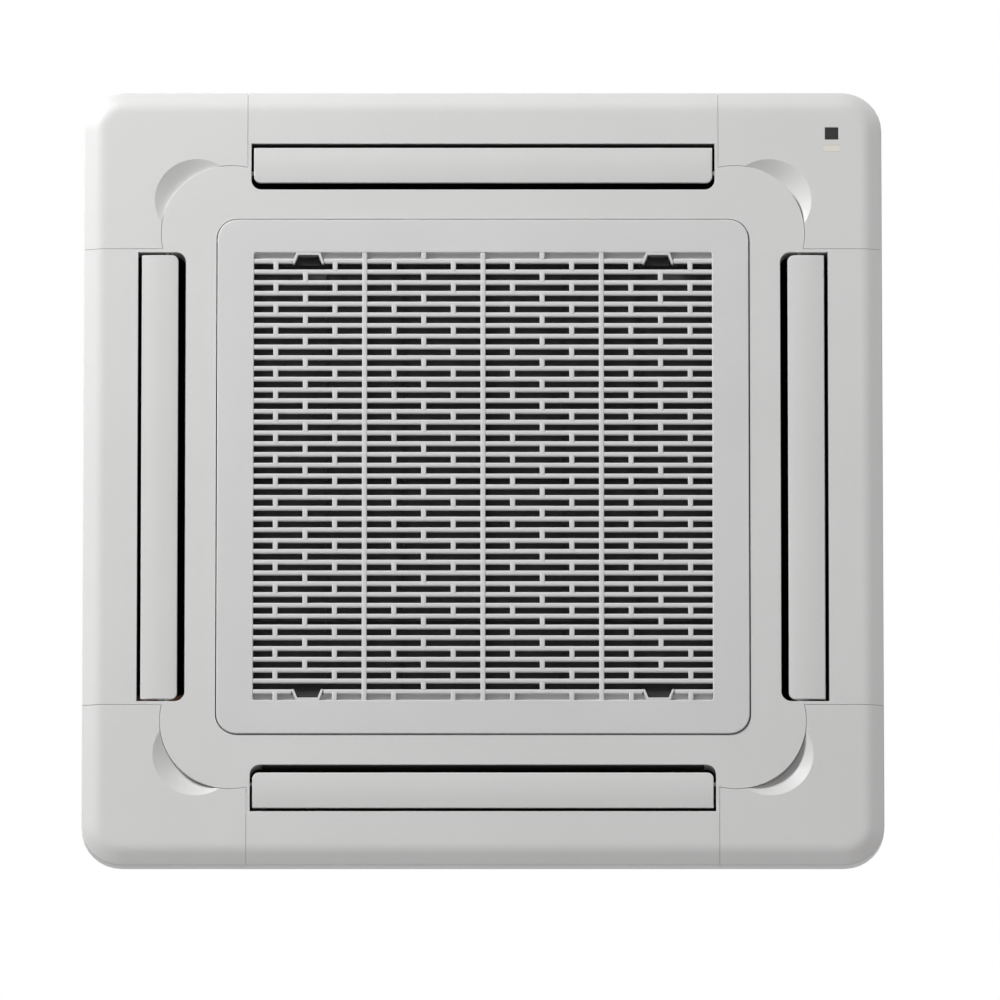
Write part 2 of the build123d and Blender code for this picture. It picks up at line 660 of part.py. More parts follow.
with BuildPart() as vane_motors:
    for angle in SIDES.values():
        side = side_plane(angle)
        with BuildSketch(side.offset(COVER_START)):
            with Locations((VANE_PIVOT, MOTOR_CENTRE)):
                Circle(MOTOR_RADIUS)
                SlotOverall(MOTOR_EAR_SPAN, MOTOR_EAR_HEIGHT)
                with GridLocations(MOTOR_EAR_SPAN - MOTOR_EAR_HEIGHT, 0, 2, 1):
                    Circle(1.75, mode=Mode.SUBTRACT)
        extrude(amount=MOTOR_FLANGE)
        with BuildSketch(side.offset(COVER_START + MOTOR_FLANGE)):
            with Locations((VANE_PIVOT, MOTOR_CENTRE)):
                Circle(MOTOR_RADIUS)
        extrude(amount=MOTOR_LENGTH)
        with BuildSketch(side.offset(COVER_START)):
            with Locations((VANE_PIVOT, VANE_PIVOT_HEIGHT)):
                Circle(MOTOR_BOSS_RADIUS)
        extrude(amount=-(SLOT_END_WALL - GAP))
        with BuildSketch(side.offset(SLOT_END)):
            with Locations((VANE_PIVOT, VANE_PIVOT_HEIGHT)):
                Circle(PIN_RADIUS + FIT)
        extrude(amount=PIN_REACH + GAP - SLOT_END, mode=Mode.SUBTRACT)
save(vane_motors, "vane_motors")

with BuildPart() as vane_bushes:
    for angle in SIDES.values():
        side = side_plane(angle)
        for radius, start, length in (
            (MOTOR_BOSS_RADIUS, SLOT_END + GAP, SLOT_END_WALL - GAP),
            (BUSH_FLANGE_RADIUS, COVER_START, MOTOR_FLANGE),
        ):
            with BuildSketch(side.offset(-start)):
                with Locations((VANE_PIVOT, VANE_PIVOT_HEIGHT)):
                    Circle(radius)
                    Circle(PIN_RADIUS + FIT, mode=Mode.SUBTRACT)
            extrude(amount=-length)
save(vane_bushes, "vane_bushes")

# ---------------------------------------------------------------- intake grille
ROW_PITCH = FIELD_Y / GRILLE_ROWS
WINDOW_LOW = LATCH_WINDOW_Y - LATCH_WINDOW_HEIGHT / 2
WINDOW_HIGH = LATCH_WINDOW_Y + LATCH_WINDOW_HEIGHT / 2
LATCH_LEVEL = FIELD_TOP + GAP
LATCH_TIP = COLLAR_HALF - GAP
FILTER_LEVEL = GRILLE_TOP
POST_X = FILTER_X / 2 - FILTER_FRAME / 2
LATTICE_X = FIELD_X / 2 + SLAT
LATTICE_Y = FIELD_Y / 2 + SLAT


def row_y(index):
    """Middle of one row of air gaps."""
    return (index - (GRILLE_ROWS - 1) / 2) * ROW_PITCH


def latch_windows():
    """Plan of the four tapered windows."""
    with BuildSketch() as plan:
        with BuildLine():
            Polyline(
                (LATCH_X - LATCH_WINDOW_LONG / 2, WINDOW_LOW),
                (LATCH_X + LATCH_WINDOW_LONG / 2, WINDOW_LOW),
                (LATCH_X + LATCH_WINDOW_SHORT / 2, WINDOW_HIGH),
                (LATCH_X - LATCH_WINDOW_SHORT / 2, WINDOW_HIGH),
                close=True,
            )
        make_face()
        mirror(about=Plane.YZ)
        mirror(about=Plane.XZ)
    return plan.sketch


def rectangle_wire(left, right, low, high):
    """Outline of a rectangle in the plan."""
    return Wire.make_polygon([(left, low), (right, low), (right, high), (left, high)])


def row_gaps(index):
    """Outlines of the air gaps in one row. Rows of two kinds take turns, with ties in other places."""
    half_gap = (ROW_PITCH - SLAT) / 2
    border = (FIELD_X / 2 + TIE / 2) / TIE_UNIT
    ties = (0, 1, 3, 4, 5, 7, border) if index % 2 else (0, 2, 4, 6, border)
    low, high = row_y(index) - half_gap, row_y(index) + half_gap
    gaps = []
    for near, far in zip(ties, ties[1:]):
        left, right = near * TIE_UNIT + TIE / 2, far * TIE_UNIT - TIE / 2
        gaps += [rectangle_wire(left, right, low, high), rectangle_wire(-right, -left, low, high)]
    return gaps


def louvre_field():
    """Plan of the louvres, open in all rows but the first and the last."""
    gaps = [gap for index in range(1, GRILLE_ROWS - 1) for gap in row_gaps(index)]
    outline = rectangle_wire(-LATTICE_X, LATTICE_X, -LATTICE_Y, LATTICE_Y)
    return Face(outline, gaps)


with BuildPart() as inlet_grille:
    with BuildSketch(level(-GRILLE_PROUD)):
        RectangleRounded(GRILLE_SIDE, GRILLE_SIDE, GRILLE_CORNER)
    extrude(amount=GRILLE_RIM)
    with BuildSketch(level(GRILLE_SKIN - GRILLE_PROUD)):
        side = GRILLE_SIDE - 2 * PANEL_SKIN
        RectangleRounded(side, side, GRILLE_CORNER - PANEL_SKIN)
    extrude(amount=GRILLE_RIM, mode=Mode.SUBTRACT)
    # posts that the filter rests on
    with BuildSketch(level(-GRILLE_PROUD)):
        with GridLocations(2 * POST_X, FILTER_Y / 3, 2, 3):
            Circle(POST_RADIUS)
    extrude(amount=GRILLE_RIM)
    # notches in the front rim for the latch tongues
    with BuildSketch(level(FIELD_TOP)):
        with Locations((LATCH_X, GRILLE_HALF), (-LATCH_X, GRILLE_HALF)):
            Rectangle(LATCH_WIDTH + 2 * GAP, 2 * PANEL_SKIN + GAP)
    extrude(amount=GRILLE_RIM, mode=Mode.SUBTRACT)
    # hinge trunnions
    for direction in (-1, 1):
        with BuildSketch(Plane.YZ.offset(direction * (GRILLE_HALF - PANEL_SKIN))):
            with Locations((HINGE_Y, FACE_Z + HINGE_HEIGHT)):
                Circle(TRUNNION_RADIUS)
        extrude(amount=direction * (PANEL_SKIN + GRILLE_SEAM + COLLAR_WALL - GAP))
    # the louvre field fills an opening in the frame
    with BuildSketch(level(-GRILLE_PROUD)):
        Rectangle(2 * LATTICE_X, 2 * LATTICE_Y)
    extrude(amount=GRILLE_RIM, mode=Mode.SUBTRACT)
    with BuildSketch(level(-GRILLE_PROUD)):
        add(louvre_field())
    extrude(amount=FIELD_DEPTH)
    # the first and last rows are blind grooves
    with BuildSketch(level(-GRILLE_PROUD)):
        for index in (0, GRILLE_ROWS - 1):
            add([Face(gap) for gap in row_gaps(index)])
    extrude(amount=END_GROOVE, mode=Mode.SUBTRACT)
    with BuildSketch(level(-GRILLE_PROUD)):
        add(latch_windows())
    extrude(amount=FIELD_DEPTH, mode=Mode.SUBTRACT)
save(inlet_grille, "inlet_grille")

# Sliding latches at the front windows, fixed catches of the same form at the rear ones
THUMB_Y = WINDOW_HIGH - GAP - LATCH_THUMB / 2
for side_name, sign in (("left", -1), ("right", 1)):
    with BuildPart() as grille_latch:
        with BuildSketch(level(LATCH_LEVEL)):
            with Locations((sign * LATCH_X, WINDOW_LOW)):
                length = LATCH_TIP - WINDOW_LOW
                Rectangle(LATCH_WIDTH, length, align=(Align.CENTER, Align.MIN))
        extrude(amount=LATCH_THICKNESS)
        with BuildSketch(level(THUMB_LEVEL)):
            with Locations((sign * LATCH_X, THUMB_Y)):
                Rectangle(LATCH_WINDOW_SHORT - 6, LATCH_THUMB)
        extrude(amount=LATCH_LEVEL - THUMB_LEVEL)
    save(grille_latch, f"grille_latch_{side_name}")

with BuildPart() as grille_catches:
    with BuildSketch(level(FIELD_TOP)):
        with Locations((LATCH_X, -WINDOW_LOW), (-LATCH_X, -WINDOW_LOW)):
            length = GRILLE_HALF - PANEL_SKIN - WINDOW_LOW
            Rectangle(LATCH_WIDTH, length, align=(Align.CENTER, Align.MAX))
    extrude(amount=LATCH_THICKNESS)
    with BuildSketch(level(THUMB_LEVEL)):
        with Locations((LATCH_X, -THUMB_Y), (-LATCH_X, -THUMB_Y)):
            Rectangle(LATCH_WINDOW_SHORT - 6, LATCH_THUMB)
    extrude(amount=FIELD_TOP - THUMB_LEVEL)
save(grille_catches, "grille_catches")

# ---------------------------------------------------------------- air filter
RIB_TOP = FILTER_LEVEL + FILTER_DEPTH - MESH_THICKNESS
MESH_X, MESH_Y = FILTER_X - 2 * FILTER_FRAME, FILTER_Y - 2 * FILTER_FRAME

with BuildPart() as air_filter_frame:
    with BuildSketch(level(FILTER_LEVEL)):
        Rectangle(FILTER_X, FILTER_Y)
        with GridLocations(MESH_X / FILTER_CELLS, MESH_Y / FILTER_CELLS, FILTER_CELLS, FILTER_CELLS):
            Rectangle(
                MESH_X / FILTER_CELLS - FILTER_RIB,
                MESH_Y / FILTER_CELLS - FILTER_RIB,
                mode=Mode.SUBTRACT,
            )
    extrude(amount=FILTER_DEPTH)
    with BuildSketch(level(RIB_TOP)):
        Rectangle(MESH_X, MESH_Y)
    extrude(amount=MESH_THICKNESS, mode=Mode.SUBTRACT)
save(air_filter_frame, "air_filter_frame")

with BuildPart() as filter_mesh:
    with BuildSketch(level(RIB_TOP)):
        Rectangle(MESH_X, MESH_Y)
    extrude(amount=MESH_THICKNESS)
save(filter_mesh, "filter_mesh")

# ---------------------------------------------------------------- seals, panel tabs and screws
with BuildPart() as panel_seals:
    with BuildSketch(level(PANEL_DEPTH)):
        add(slot_plan(SLOT_WALL))
        add(slot_plan(0), mode=Mode.SUBTRACT)
        seal_outer = COLLAR_HALF + INLET_SEAL
        add(rounded_ring(seal_outer, COLLAR_HALF, GRILLE_CORNER + GRILLE_SEAM + INLET_SEAL))
        # straight strips and corner pieces, laid end to end
        for line in (SLOT_END - SLOT_ROUND, SLOT_INNER + SLOT_ROUND):
            with GridLocations(2 * line, 0, 2, 1):
                Rectangle(SEAM, PANEL_SIDE, mode=Mode.SUBTRACT)
            with GridLocations(0, 2 * line, 1, 2):
                Rectangle(PANEL_SIDE, SEAM, mode=Mode.SUBTRACT)
    extrude(amount=SEAL_THICKNESS)
save(panel_seals, "panel_seals")

with BuildPart() as panel_brackets:
    with BuildSketch(level(CASING_BOTTOM)):
        with PolarLocations(CHAMFER_REACH + TAB_REACH / 2, 4, start_angle=45):
            Rectangle(TAB_REACH, TAB_WIDTH)
        with GridLocations(2 * FIXING, 2 * FIXING, 2, 2):
            Circle(PANEL_SCREW_RADIUS + FIT, mode=Mode.SUBTRACT)
    extrude(amount=TAB_SHEET)
    with BuildSketch(level(CASING_BOTTOM)):
        with PolarLocations(CHAMFER_REACH + TAB_SHEET / 2, 4, start_angle=45):
            Rectangle(TAB_SHEET, TAB_WIDTH)
    extrude(amount=TAB_HEIGHT)
save(panel_brackets, "panel_brackets")

with BuildPart() as panel_screws:
    with BuildSketch(level(POCKET_TOP)):
        with GridLocations(2 * FIXING, 2 * FIXING, 2, 2):
            Circle(PANEL_SCREW_HEAD_RADIUS)
    extrude(amount=-PANEL_SCREW_HEAD)
    with BuildSketch(level(POCKET_TOP)):
        with GridLocations(2 * FIXING, 2 * FIXING, 2, 2):
            Circle(PANEL_SCREW_RADIUS)
    extrude(amount=PANEL_SCREW_TIP - POCKET_TOP)
save(panel_screws, "panel_screws")

# ---------------------------------------------------------------- casing
WALL_SIDE = CASING_SIDE / 2
PORT_Z = FACE_Z + HOSE_HEIGHT


def wall_plan(outside, thickness):
    """Plan of eight wall plates that meet at the corners of the casing's octagon."""
    flat_end = degrees(atan2(CASING_SIDE / 2 - CASING_CHAMFER, CASING_SIDE / 2))
    with BuildSketch() as plan:
        add(octagon(outside))
        add(octagon(outside + thickness), mode=Mode.SUBTRACT)
        for turn in (flat_end, 90 - flat_end, -flat_end, flat_end - 90):
            Rectangle(2 * CASING_SIDE, SEAM, rotation=turn, mode=Mode.SUBTRACT)
    return plan.sketch


def cut_wall_holes(pipe_y, pipe_z, cable_radius, hose_radius):
    """Solids to take out of a side wall: piping window, cable hole and drain hole."""
    with BuildPart() as cutters:
        with BuildSketch(Plane.YZ.offset(-WALL_SIDE - 1)):
            with Locations((PIPE_Y, FACE_Z + PIPE_PLATE_LEVEL)):
                Rectangle(pipe_y, pipe_z)
            with Locations((PIPE_Y, FACE_Z + GROMMET_HEIGHT)):
                Circle(cable_radius)
        extrude(amount=SHEET + INSULATION + 2)
        with BuildSketch(Plane.XZ.offset(-WALL_SIDE - 1)):
            with Locations((HOSE_X, PORT_Z)):
                Circle(hose_radius)
        extrude(amount=SHEET + INSULATION + 2)
    return cutters.part


PIPE_WINDOW_Y = PIPE_PLATE_Y - 2 * PIPE_PLATE_LAP
PIPE_WINDOW_Z = PIPE_PLATE_Z - 2 * PIPE_PLATE_LAP

with BuildPart() as casing_sides:
    with BuildSketch(level(CASING_BOTTOM)):
        add(wall_plan(0, SHEET))
    extrude(amount=CASING_HEIGHT - SHEET)
    holes = cut_wall_holes(PIPE_WINDOW_Y, PIPE_WINDOW_Z, GROMMET_RADIUS + FIT, HOSE_RADIUS + GAP)
    add(holes, mode=Mode.SUBTRACT)
save(casing_sides, "casing_sides")

with BuildPart() as casing_top:
    with BuildSketch(level(CASING_TOP - SHEET)):
        add(octagon(0))
    extrude(amount=SHEET)
    # pressed stiffening beads: a ring round the motor and a spoke to each corner
    with BuildSketch(level(CASING_TOP)):
        Circle(BEAD_CIRCLE + BEAD_WIDTH)
        Circle(BEAD_CIRCLE, mode=Mode.SUBTRACT)
        with PolarLocations(BEAD_CIRCLE + BEAD_WIDTH / 2 + BEAD_LENGTH / 2, 8, start_angle=22.5):
            Rectangle(BEAD_LENGTH, BEAD_WIDTH)
    extrude(amount=TOP_BEAD)
save(casing_top, "casing_top")

with BuildPart() as casing_insulation:
    with BuildSketch(level(PAN_TOP)):
        add(wall_plan(SHEET, INSULATION))
    extrude(amount=COIL_TOP + GAP - SEAM - PAN_TOP)
    with BuildSketch(level(COIL_TOP + GAP)):
        add(octagon(SHEET))
        Circle(MOTOR_OPENING_RADIUS, mode=Mode.SUBTRACT)
    extrude(amount=CASING_TOP - SHEET - COIL_TOP - GAP)
    holes = cut_wall_holes(PIPE_WINDOW_Y, PIPE_WINDOW_Z, GROMMET_FLANGE + GAP, HOSE_RADIUS + GAP)
    add(holes, mode=Mode.SUBTRACT)
save(casing_insulation, "casing_insulation")

with BuildPart() as hanger_brackets:
    with BuildSketch(Plane.XY):
        with PolarLocations(CHAMFER_REACH + BRACKET_REACH / 2, 4, start_angle=45):
            Rectangle(BRACKET_REACH, BRACKET_WIDTH)
        with GridLocations(HANGER_X, HANGER_Y, 2, 2):
            SlotOverall(HANGER_SLOT_LENGTH, HANGER_SLOT_WIDTH, mode=Mode.SUBTRACT)
    extrude(amount=-BRACKET_SHEET)
    with BuildSketch(Plane.XY):
        with PolarLocations(CHAMFER_REACH + BRACKET_SHEET / 2, 4, start_angle=45):
            Rectangle(BRACKET_SHEET, BRACKET_WIDTH)
    extrude(amount=-BRACKET_HEIGHT)
save(hanger_brackets, "hanger_brackets")

# ---------------------------------------------------------------- drain pan
with BuildPart() as drain_pan:
    with BuildSketch(level(CASING_BOTTOM)):
        add(octagon(SHEET + PAN_PLAY))
        add(slot_plan(0), mode=Mode.SUBTRACT)
        ledge = 2 * (PAN_OPENING - PAN_LEDGE)
        RectangleRounded(ledge, ledge, PAN_OPENING_CORNER, mode=Mode.SUBTRACT)
    extrude(amount=PAN_HEIGHT)
    with BuildSketch(level(CASING_BOTTOM)):
        RectangleRounded(2 * PAN_OPENING, 2 * PAN_OPENING, PAN_OPENING_CORNER)
    extrude(amount=LEDGE_LEVEL - CASING_BOTTOM, mode=Mode.SUBTRACT)
    # trough under the coil and the sump under the pump
    with BuildSketch(level(TROUGH_FLOOR)):
        add(rounded_ring(TROUGH_OUTER, TROUGH_INNER, COIL_CORNER + TROUGH_OUTER - COIL_OUTER))
    extrude(amount=PAN_HEIGHT, mode=Mode.SUBTRACT)
    with BuildSketch(level(CASING_BOTTOM + SUMP_FLOOR)):
        with Locations((SUMP_X, SUMP_Y)):
            Circle(SUMP_RADIUS)
    extrude(amount=PAN_HEIGHT, mode=Mode.SUBTRACT)
    with BuildSketch(level(CASING_BOTTOM)):
        with Locations((PLUG_X, PLUG_Y)):
            Circle(PLUG_RADIUS + FIT)
    extrude(amount=SUMP_FLOOR, mode=Mode.SUBTRACT)
    # screw holes of the bell mouth
    with BuildSketch(level(LEDGE_LEVEL)):
        with Locations(BELL_SCREWS):
            Circle(BELL_SCREW_RADIUS + FIT)
    extrude(amount=BELL_SCREW_LENGTH, mode=Mode.SUBTRACT)
save(drain_pan, "drain_pan")

with BuildPart() as drain_plug:
    with BuildSketch(level(CASING_BOTTOM)):
        with Locations((PLUG_X, PLUG_Y)):
            Circle(PLUG_RADIUS)
    extrude(amount=SUMP_FLOOR)
    with BuildSketch(level(CASING_BOTTOM)):
        with Locations((PLUG_X, PLUG_Y)):
            Circle(PLUG_FLANGE_RADIUS)
    extrude(amount=-PLUG_FLANGE)
save(drain_plug, "drain_plug")

# ---------------------------------------------------------------- coil
COIL_HEIGHT = COIL_TOP - TROUGH_FLOOR
COIL_MIDDLE = COIL_OUTER - COIL_THICKNESS / 2
PLATE_FACE = COIL_CUT + END_PLATE
PIPE_ROW = COIL_MIDDLE - PIPE_SHIFT

with BuildPart() as heat_exchanger_fins:
    with BuildSketch(level(TROUGH_FLOOR)):
        add(rounded_ring(COIL_OUTER, COIL_OUTER - COIL_THICKNESS, COIL_CORNER))
        with Locations((-COIL_CUT, COIL_CUT)):
            Rectangle(COIL_OUTER, COIL_OUTER, align=(Align.MAX, Align.MIN), mode=Mode.SUBTRACT)
    extrude(amount=COIL_HEIGHT)
save(heat_exchanger_fins, "heat_exchanger_fins")

with BuildPart() as coil_end_plates:
    with BuildSketch(level(TROUGH_FLOOR)):
        with Locations((-COIL_CUT - END_PLATE / 2, COIL_MIDDLE)):
            Rectangle(END_PLATE, COIL_THICKNESS)
        with Locations((-COIL_MIDDLE, COIL_CUT + END_PLATE / 2)):
            Rectangle(COIL_THICKNESS, END_PLATE)
    extrude(amount=COIL_HEIGHT)
save(coil_end_plates, "coil_end_plates")

with BuildPart() as coil_return_bends:
    for row in range(BEND_ROWS):
        height = FACE_Z + BEND_FIRST + row * BEND_STEP
        for line in (COIL_MIDDLE + BEND_SPREAD, COIL_MIDDLE - BEND_SPREAD):
            with BuildSketch(Plane.YZ.offset(-PLATE_FACE)):
                with Locations((line, height + BEND_PITCH / 2)):
                    Circle(BEND_TUBE_RADIUS)
            revolve(axis=Axis((-PLATE_FACE, line, height), (0, -1, 0)), revolution_arc=180)
        with BuildSketch(Plane.XZ.offset(-PLATE_FACE)):
            with Locations((-COIL_MIDDLE - BEND_SPREAD, height + BEND_PITCH / 2)):
                Circle(BEND_TUBE_RADIUS)
        revolve(axis=Axis((-COIL_MIDDLE - BEND_SPREAD, PLATE_FACE, height), (-1, 0, 0)), revolution_arc=180)
save(coil_return_bends, "coil_return_bends")

# ---------------------------------------------------------------- piping
for pipe_name, radius, thread_radius, across_flats, height in (
    ("gas_pipe", GAS_PIPE_RADIUS, GAS_THREAD_RADIUS, GAS_HEX, GAS_HEIGHT),
    ("liquid_pipe", LIQUID_PIPE_RADIUS, LIQUID_THREAD_RADIUS, LIQUID_HEX, LIQUID_HEIGHT),
):
    bore = radius - PIPE_WALL
    with BuildPart() as pipe:
        with BuildLine() as route:
            z = FACE_Z + height
            FilletPolyline(
                (-PIPE_ROW, PLATE_FACE, z),
                (-PIPE_ROW, PIPE_Y, z),
                (-UNION_START, PIPE_Y, z),
                radius=PIPE_BEND,
            )
        with BuildSketch(Plane(route.line @ 0, z_dir=route.line % 0)):
            Circle(radius)
            Circle(bore, mode=Mode.SUBTRACT)
        sweep()
        with BuildSketch(Plane.YZ.offset(-UNION_START)):
            with Locations((PIPE_Y, z)):
                add(hex_nut(across_flats, bore))
        extrude(amount=-UNION_HEX)
        with BuildSketch(Plane.YZ.offset(-UNION_START - UNION_HEX)):
            with Locations((PIPE_Y, z)):
                Circle(thread_radius)
                Circle(bore, mode=Mode.SUBTRACT)
        extrude(amount=-UNION_THREAD)
    save(pipe, pipe_name)

with BuildPart() as pipe_plate:
    with BuildSketch(Plane.YZ.offset(-WALL_SIDE)):
        with Locations((PIPE_Y, FACE_Z + PIPE_PLATE_LEVEL)):
            Rectangle(PIPE_PLATE_Y, PIPE_PLATE_Z)
        with Locations((PIPE_Y, FACE_Z + GAS_HEIGHT)):
            Circle(GAS_PIPE_RADIUS + GAP, mode=Mode.SUBTRACT)
        with Locations((PIPE_Y, FACE_Z + LIQUID_HEIGHT)):
            Circle(LIQUID_PIPE_RADIUS + GAP, mode=Mode.SUBTRACT)
    extrude(amount=-SHEET)
save(pipe_plate, "pipe_plate")

with BuildPart() as cable_grommet:
    for start, length, radius in (
        (WALL_SIDE + 2, 2, GROMMET_FLANGE),
        (WALL_SIDE, SHEET, GROMMET_RADIUS),
        (WALL_SIDE - SHEET, 2, GROMMET_FLANGE),
    ):
        with BuildSketch(Plane.YZ.offset(-start)):
            with Locations((PIPE_Y, FACE_Z + GROMMET_HEIGHT)):
                Circle(radius)
                Circle(GROMMET_BORE, mode=Mode.SUBTRACT)
        extrude(amount=length)
save(cable_grommet, "cable_grommet")

# ---------------------------------------------------------------- bell mouth
with BuildPart() as bell_mouth:
    with BuildSketch(level(BELL_LEVEL)):
        RectangleRounded(2 * BELL_HALF, 2 * BELL_HALF, PAN_OPENING_CORNER - (PAN_OPENING - BELL_HALF))
        Circle(THROAT_RADIUS + BELL_ROUND, mode=Mode.SUBTRACT)
        with Locations(BELL_SCREWS):
            Circle(BELL_SCREW_RADIUS + SCREW_PLAY, mode=Mode.SUBTRACT)
    extrude(amount=BELL_SHEET)
    with BuildSketch(MERIDIAN):
        with BuildLine():
            centre = (THROAT_RADIUS + BELL_ROUND, THROAT_TOP)
            outer = CenterArc(centre, BELL_ROUND, 180, 90)
            inner = CenterArc(centre, BELL_ROUND - BELL_SHEET, 180, 90)
            Line(outer @ 0, inner @ 0)
            Line(outer @ 1, inner @ 1)
        make_face()
    revolve(axis=Axis.Z)
save(bell_mouth, "bell_mouth")

with BuildPart() as bell_mouth_screws:
    with BuildSketch(level(BELL_LEVEL)):
        with Locations(BELL_SCREWS):
            Circle(BELL_SCREW_HEAD_RADIUS)
    extrude(amount=-BELL_SCREW_HEAD)
    with BuildSketch(level(BELL_LEVEL)):
        with Locations(BELL_SCREWS):
            Circle(BELL_SCREW_RADIUS)
    extrude(amount=BELL_SCREW_LENGTH)
save(bell_mouth_screws, "bell_mouth_screws")

# ---------------------------------------------------------------- control box under the bell mouth
BOX_LEVEL = BELL_LEVEL - BOX_HEIGHT
BOX_ROOF = BELL_LEVEL - SHEET
BOX_POSTS = [
    (sx * (BOX_X / 2 - BOX_POST_INSET), BOX_CENTRE_Y + sy * (BOX_Y / 2 - BOX_POST_INSET))
    for sx in (-1, 1)
    for sy in (-1, 1)
]

with BuildPart() as control_box:
    with BuildSketch(level(BOX_LEVEL)):
        with Locations((0, BOX_CENTRE_Y)):
            Rectangle(BOX_X, BOX_Y)
    extrude(amount=BOX_HEIGHT)
    with BuildSketch(level(BOX_LEVEL)):
        with Locations((0, BOX_CENTRE_Y)):
            Rectangle(BOX_X - 2 * SHEET, BOX_Y - 2 * SHEET)
    extrude(amount=BOX_HEIGHT - SHEET, mode=Mode.SUBTRACT)
    with BuildSketch(level(BOX_LEVEL)):
        with Locations(BOX_POSTS):
            Circle(BOX_POST_RADIUS)
    extrude(amount=BOX_HEIGHT - SHEET)
    with BuildSketch(level(BOX_LEVEL)):
        with Locations(BOX_POSTS):
            Circle(BOX_SCREW_RADIUS + FIT)
    extrude(amount=BOX_SCREW_LENGTH, mode=Mode.SUBTRACT)
save(control_box, "control_box")

with BuildPart() as control_box_cover:
    with BuildSketch(level(BOX_LEVEL)):
        with Locations((0, BOX_CENTRE_Y)):
            Rectangle(BOX_X, BOX_Y)
        with Locations(BOX_POSTS):
            Circle(BOX_SCREW_RADIUS + SCREW_PLAY, mode=Mode.SUBTRACT)
    extrude(amount=-BOX_COVER)
save(control_box_cover, "control_box_cover")

with BuildPart() as control_box_screws:
    with BuildSketch(level(BOX_LEVEL - BOX_COVER)):
        with Locations(BOX_POSTS):
            Circle(BOX_SCREW_HEAD_RADIUS)
    extrude(amount=-BOX_SCREW_HEAD)
    with BuildSketch(level(BOX_LEVEL - BOX_COVER)):
        with Locations(BOX_POSTS):
            Circle(BOX_SCREW_RADIUS)
    extrude(amount=BOX_SCREW_LENGTH)
save(control_box_screws, "control_box_screws")

with BuildPart() as circuit_board:
    board_level = BOX_ROOF - CIRCUIT_DROP
    with BuildSketch(level(board_level)):
        with Locations((CIRCUIT_CENTRE, BOX_CENTRE_Y)):
            Rectangle(CIRCUIT_X, CIRCUIT_Y)
    extrude(amount=-BOARD_THICKNESS)
    with BuildSketch(level(board_level)):
        with Locations((CIRCUIT_CENTRE, BOX_CENTRE_Y)):
            with GridLocations(CIRCUIT_X - 10, CIRCUIT_Y - 10, 2, 2):
                Circle(BOX_POST_RADIUS)
    extrude(amount=CIRCUIT_DROP)
    # relays and capacitors hang below the board
    with BuildSketch(level(board_level)):
        with Locations((CIRCUIT_CENTRE - 60, BOX_CENTRE_Y)):
            with GridLocations(24, 0, 3, 1):
                Rectangle(18, 15)
        with Locations((CIRCUIT_CENTRE + 30, BOX_CENTRE_Y)):
            with GridLocations(20, 22, 3, 2):
                Circle(6)
    extrude(amount=-BOARD_THICKNESS - 14)
save(circuit_board, "circuit_board")

for block_name, block_x, length, depth in (("transformer", -168, 50, 24), ("terminal_block", 140, 90, 20)):
    with BuildPart() as block:
        with BuildSketch(level(BOX_ROOF)):
            with Locations((block_x, BOX_CENTRE_Y)):
                Rectangle(length, 32)
        extrude(amount=-depth)
        with BuildSketch(level(BOX_ROOF - depth)):
            with Locations((block_x, BOX_CENTRE_Y)):
                with GridLocations(length / 5, 0, 4, 1):
                    Rectangle(length / 10, 20)
        extrude(amount=4, mode=Mode.SUBTRACT)
    save(block, block_name)

# ---------------------------------------------------------------- fan
SHROUD_RADIUS = THROAT_RADIUS + BELL_SHEET + SHROUD_GAP
SHROUD_CENTRE = (SHROUD_RADIUS + SHROUD_ROUND, SHROUD_START)


def shroud_curve(offset):
    """Arc of the shroud's section, offset from its air side."""
    return CenterArc(SHROUD_CENTRE, SHROUD_ROUND - offset, 180, -SHROUD_ARC)


def shroud_tip(arc):
    """Where the straight run after the arc meets the fan's rim."""
    end = arc @ 1
    slope = tan(radians(90 - SHROUD_ARC))
    return (FAN_RADIUS, end.Y + slope * (FAN_RADIUS - end.X))


with BuildSketch() as fan_blade:
    with BuildLine():
        tip = (FAN_RADIUS - 1, -FAN_BLADE_LAG)
        waist = ((FAN_BLADE_INNER + FAN_RADIUS) / 2 - 8, -FAN_BLADE_LAG / 2 - 8)
        faces = []
        for turn in (0, FAN_BLADE_TURN):
            points = [
                (radius * cos(radians(angle + turn)), radius * sin(radians(angle + turn)))
                for radius, angle in ((FAN_BLADE_INNER, 0), waist, tip)
            ]
            faces.append(ThreePointArc(*points))
        Line(faces[0] @ 0, faces[1] @ 0)
        Line(faces[0] @ 1, faces[1] @ 1)
    make_face()

